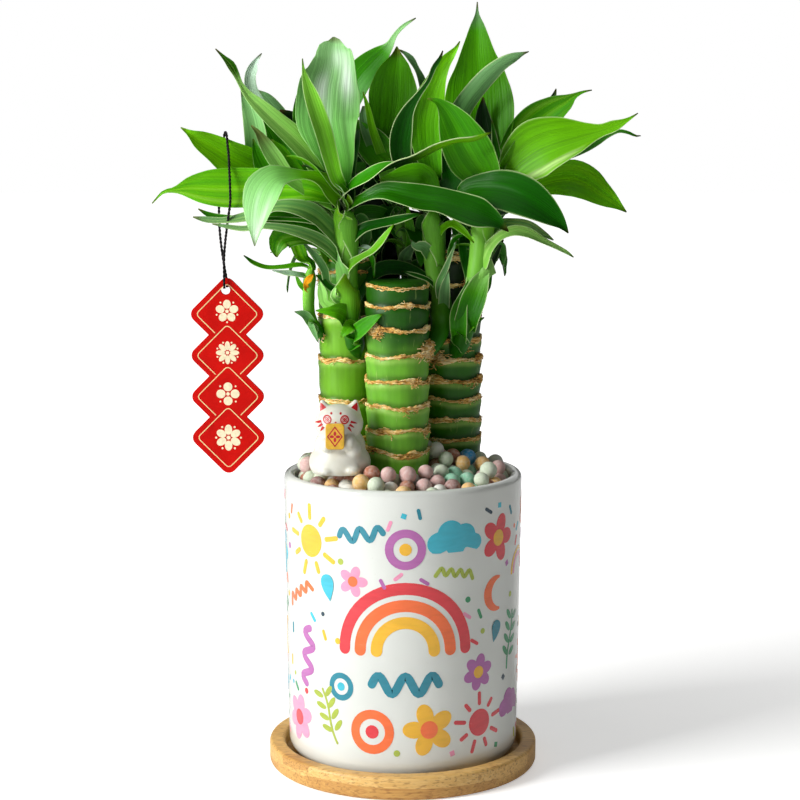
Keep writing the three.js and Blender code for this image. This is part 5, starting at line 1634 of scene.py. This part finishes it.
# the sitting cat
catForm = {
    "voxel": 0.42, "melt": 14, "faceX": -1.9, "eyeLevel": 23.1, "headX": -0.9, "earSpread": 6.0,
    "eye": 1.5, "eyeApart": 3.5, "paint": 0.12,
    "lumps": [  # centre, radii
        ((-0.6, 0, 4.4), (12.7, 10.6, 9.2)), ((-0.7, 0.2, 11.0), (10.6, 8.8, 8.6)),
        ((-0.9, -1, 20.5), (10.0, 8.6, 8.0)), ((-5.8, -7.6, 12.6), (2.6, 3.4, 3.0)),
        ((3.4, -7.4, 13.6), (3.2, 4.0, 3.6)), ((5.0, -5.6, 10.4), (3.6, 4.2, 4.4)),
        ((4.6, -8.2, 2.4), (3.6, 3.2, 2.2)), ((-5.8, -7.6, 2.0), (3.4, 3.0, 2.0)),
        ((2, 9.8, 4.4), (2.8, 2.6, 2.8)),
    ],
}
plaque = {"width": 7.6, "height": 10.6, "thickness": 1.6, "x": -2.2, "y": -11.4, "z": 16.7, "corner": 1.4}


def resinFinish():
    resin = Finish("whiteResin")
    drift = resin.cloud(160)
    colour = resin.ramp(drift, (0.3, "#cecdbf"), (0.7, "#dad9ce"))
    return resin.skin(
        colour, 0.36 + drift * 0.12, drift, 0.1, 0.0002,
        Subsurface_Weight=0.25, Subsurface_Radius=(1.0, 0.8, 0.6), Subsurface_Scale=0.002,
    )


def enamelFinish(name, code, roughness=0.35, metallic=0.0):
    enamel = Finish(name)
    drift = enamel.cloud(900)
    deep = tuple(c * 0.82 for c in paint(code)[:3]) + (1.0,)
    colour = enamel.ramp(drift, (0.3, deep), (0.7, code))
    return enamel.skin(colour, roughness + drift * 0.15, drift, 0.15, 0.0001, Metallic=metallic)


def seated(x, y, z):
    return (seat["x"] + x, seat["y"] + y, seat["z"] + z)


def placed(x, y, z):
    return Matrix.Translation((x * mm, y * mm, z * mm))


def makeCat():
    bm = bmesh.new()
    for centre, radii in catForm["lumps"]:
        shape = placed(*centre) @ Matrix.Diagonal([r * mm for r in radii] + [1])
        bmesh.ops.create_uvsphere(bm, u_segments=40, v_segments=24, radius=1, matrix=shape)
    for side in (-1, 1):
        shape = placed(side * catForm["earSpread"] + catForm["headX"], -1.2, 26.8)
        shape = shape @ Matrix.Rotation(side * 0.3, 4, "Y") @ Matrix.Diagonal((5 * mm, 3.4 * mm, 7.4 * mm, 1))
        bmesh.ops.create_cone(bm, cap_ends=True, segments=28, radius1=1, radius2=0.14, depth=1, matrix=shape)
    cat = pieceOf("sittingCat", bmeshOf("sittingCat", bm))
    modify(cat, "REMESH", mode="VOXEL", voxel_size=catForm["voxel"] * mm)
    modify(cat, "SMOOTH", factor=0.6, iterations=catForm["melt"])
    mesh = settled(cat).data
    for vertex in mesh.vertices:  # a flat seat
        vertex.co.z = max(vertex.co.z, 0)
    mesh.transform(placed(*seated(0, 0, 0)))
    mesh.polygons.foreach_set("use_smooth", [True] * len(mesh.polygons))
    return onRest(dressed(cat, resinFinish()), "white_resin", "cat")


def paintCat(cat):
    tree = BVHTree.FromObject(cat, bpy.context.evaluated_depsgraph_get())

    def onto(u, v, layer):
        start = Vector(seated(u, -40, v)) * mm
        spot, normal, _, _ = tree.ray_cast(start, Vector((0, 1, 0)))
        if spot is None:
            spot, normal, _, _ = tree.find_nearest(start + Vector((0, 40 * mm, 0)))
        return (spot + normal * (0.07 + layer * 0.05) * mm) / mm

    p = Print()
    faceX, level = catForm["faceX"], catForm["eyeLevel"]
    for side in (-1, 1):
        x = faceX + side * catForm["eyeApart"]  # round eyes with a flower in each
        p.stroke(circle(x, level, catForm["eye"], 24)[::-1], 0.54, closed=True)
        for k in range(4):
            petal = spun(x, level, 0.58, 0, math.pi / 4 + k * math.pi / 2)
            p.stroke(circle(*petal, 0.34, 12)[::-1], 0.3, closed=True)
        p.disc(faceX + side * 1.9, level + 2.4, 0.46, 12, rings=1)
        for k in range(3):  # whiskers, thick at the cheek and fine at their ends
            start = np.array([faceX + side * (5.9 - 0.45 * k), level - 0.9 - 1.05 * k])
            end = start + np.array([side * (2.6 - 0.65 * k), -0.9 - 0.55 * k])
            across = unit(np.array([start[1] - end[1], end[0] - start[0]])) * 0.5
            taper = [(0, 1), (0.5, 0.8), (1, 0.15), (1, -0.15), (0.5, -0.8), (0, -1)][::-side]
            p.fill((start + end) / 2, [start + across * w + (end - start) * t for t, w in taper])
        ear = [(-1.5, -0.4), (-0.3, -1.0), (1.0, -1.9), (1.2, -0.2), (0.9, 1.6), (0.1, 1.1)]
        middle = (catForm["headX"] + side * (catForm["earSpread"] + 0.5), 27.6)
        p.fill(middle, [(middle[0] + side * x, middle[1] + z) for x, z in ear][::side], rings=3)
    p.disc(faceX - 0.1, level - 1.0, 0.42, 10, rings=1, squash=0.7)
    ink = enamelFinish("redEnamel", "#b80a14")
    onRest(p.laid("catPaint", onto, [ink], catForm["paint"]), "white_resin")


def rounded(w, h, corner, count=6):  # half the width, half the height
    spots = []
    for turn, (x, y) in enumerate(((1, 1), (-1, 1), (-1, -1), (1, -1))):
        spots += arc(x * (w - corner), y * (h - corner), corner, turn * 90, turn * 90 + 90, count)
    return spots


def addPlate(bm, outline, y, thickness):  # a flat plate that faces the front
    depths = (y - thickness / 2, y + thickness / 2)
    front, back = [[bm.verts.new((x * mm, depth * mm, z * mm)) for x, z in outline] for depth in depths]
    bm.faces.new(front)
    bm.faces.new(back[::-1])
    for i in range(len(outline)):
        bm.faces.new((front[i], front[i - 1], back[i - 1], back[i]))
    bmesh.ops.recalc_face_normals(bm, faces=bm.faces)


def makePlaque():
    q = plaque
    middle = seated(q["x"], q["y"], q["z"])
    bm = bmesh.new()
    outline = rounded(q["width"] / 2, q["height"] / 2, q["corner"])
    addPlate(bm, [(middle[0] + x, middle[2] + z) for x, z in outline], middle[1], q["thickness"])
    piece = pieceOf("goldPlaque", bmeshOf("goldPlaque", bm), enamelFinish("goldPaint", "#eab83c", 0.32, 0.25))
    modify(piece, "BEVEL", width=0.35 * mm, segments=3)
    onRest(settled(piece), "gold_resin", "plaque")

    def onto(u, v, layer):
        return (middle[0] + u, middle[1] - q["thickness"] / 2 - 0.03 - layer * 0.04, middle[2] + v)

    p = Print()
    for angle in [math.pi / 2 * k for k in range(4)]:  # a plain four-petalled flower in a diamond
        p.disc(*spun(0, 0, 1.25, 0, angle), 0.95, 16, squash=0.62, turn=angle)
        start, end = [np.array([2.9 * math.cos(t), 3.9 * math.sin(t)]) for t in (angle, angle + math.pi / 2)]
        p.stroke([start + (end - start) * t for t in np.linspace(0, 1, 8)], 0.5)
    onRest(p.laid("plaqueFlower", onto, [enamelFinish("plaqueRed", "#c2202c")], 0.1), "gold_resin")


paintCat(makeCat())
makePlaque()
print("cat shaped and painted")


# the tag: red plates on their corners, with gold lines and a blossom on each
tag = {
    "x": -72.6, "y": -8, "top": 208.6, "half": 16.3, "pitch": 17.2, "count": 4, "thickness": 1.8,
    "corner": 3.4, "inset": 3.4, "insetCorner": 1.6, "hole": (-73.1, 202.3, 1.9), "line": 0.36,
    # on each plate a plain flower: its petals, its size, and how far it is above the middle
    "blossoms": [(5, 4.9, 1.2), (8, 4.9, 1.2), (4, 4.9, 1.2), (6, 5.6, 0)],
}


def lacquerFinish():
    lacquer = Finish("redLacquer")
    grain = lacquer.cloud(1800)
    colour = lacquer.ramp(lacquer.cloud(120), (0.3, "#b80600"), (0.7, "#c80a02"))
    return lacquer.skin(colour, 0.42 + grain * 0.1, grain, 0.12, 0.00008, Specular_IOR_Level=0.12)


def diamond(x, z, half, corner, count=6):  # a rounded square on its corner
    side = half * math.sqrt(2) / 2
    return [spun(x, z, a, b, math.pi / 4) for a, b in rounded(side, side, corner, count)]


def makeTag():
    t = tag
    bm = bmesh.new()
    middles = [t["top"] - t["half"] - k * t["pitch"] for k in range(t["count"])]
    for middle in middles:
        addPlate(bm, diamond(t["x"], middle, t["half"], t["corner"]), t["y"], t["thickness"])
    piece = pieceOf("redTag", bmeshOf("redTag", bm))
    x, z, radius = t["hole"]
    bm = bmesh.new()
    shape = placed(x, t["y"], z) @ Matrix.Rotation(math.pi / 2, 4, "X")
    bore = {"segments": 32, "radius1": radius * mm, "radius2": radius * mm, "depth": 0.02}
    bmesh.ops.create_cone(bm, cap_ends=True, matrix=shape, **bore)
    drill = pieceOf("drill", bmeshOf("drill", bm))
    modify(piece, "BOOLEAN", object=drill, operation="DIFFERENCE", solver="EXACT", use_self=True)
    modify(piece, "BEVEL", width=0.25 * mm, segments=2, limit_method="ANGLE")
    settled(piece)
    bpy.data.objects.remove(drill)
    onRest(dressed(piece, lacquerFinish()), "red_lacquer", "tag")
    inks = [enamelFinish("tagGold", "#f3dc9c", 0.45), enamelFinish("tagCream", "#f7e8c2", 0.5)]
    for side, name in ((-1, "tagFront"), (1, "tagBack")):
        p = Print()
        for middle, (petals, size, above) in zip(middles, t["blossoms"]):
            inner, isLast = t["half"] - t["inset"], middle == middles[-1]
            line = np.array(diamond(0, middle, inner, t["insetCorner"], 5))
            line = np.roll(line, -len(line) // 2, axis=0)
            line = np.vstack([line, line[:1]])
            line = pointsAt(line, np.linspace(0, runLength(line)[-1], 160))
            below = np.abs(line[:, 0]) + np.abs(line[:, 1] - middle + t["pitch"])
            line = line[:-1] if isLast else line[below >= inner + t["insetCorner"]]
            p.stroke(line[::-1], t["line"], closed=isLast)
            drawTagBlossom(p, middle + above, size, petals)

        def onto(u, v, layer):
            return (t["x"] - side * u, t["y"] + side * (t["thickness"] / 2 + 0.05 + layer * 0.05), v)

        onRest(p.laid(name, onto, inks, 0.1), "red_lacquer")


def drawTagBlossom(p, v, size, petals):  # with small dots between the petals
    squash = min(1.0, 0.44 * 1.2 * math.sin(math.pi / petals) / 0.36)
    for k in range(petals):
        angle = math.pi / 2 + tau * k / petals
        p.disc(*spun(0, v, size * 0.6, 0, angle), size * 0.38, 20, 1, 2, squash, angle)
        p.disc(*spun(0, v, size * 0.92, 0, angle + math.pi / petals), size * 0.08, 10, 1, 1)
    p.disc(0, v, size * 0.15, 14, 1, 1)


makeTag()
print("tag made")
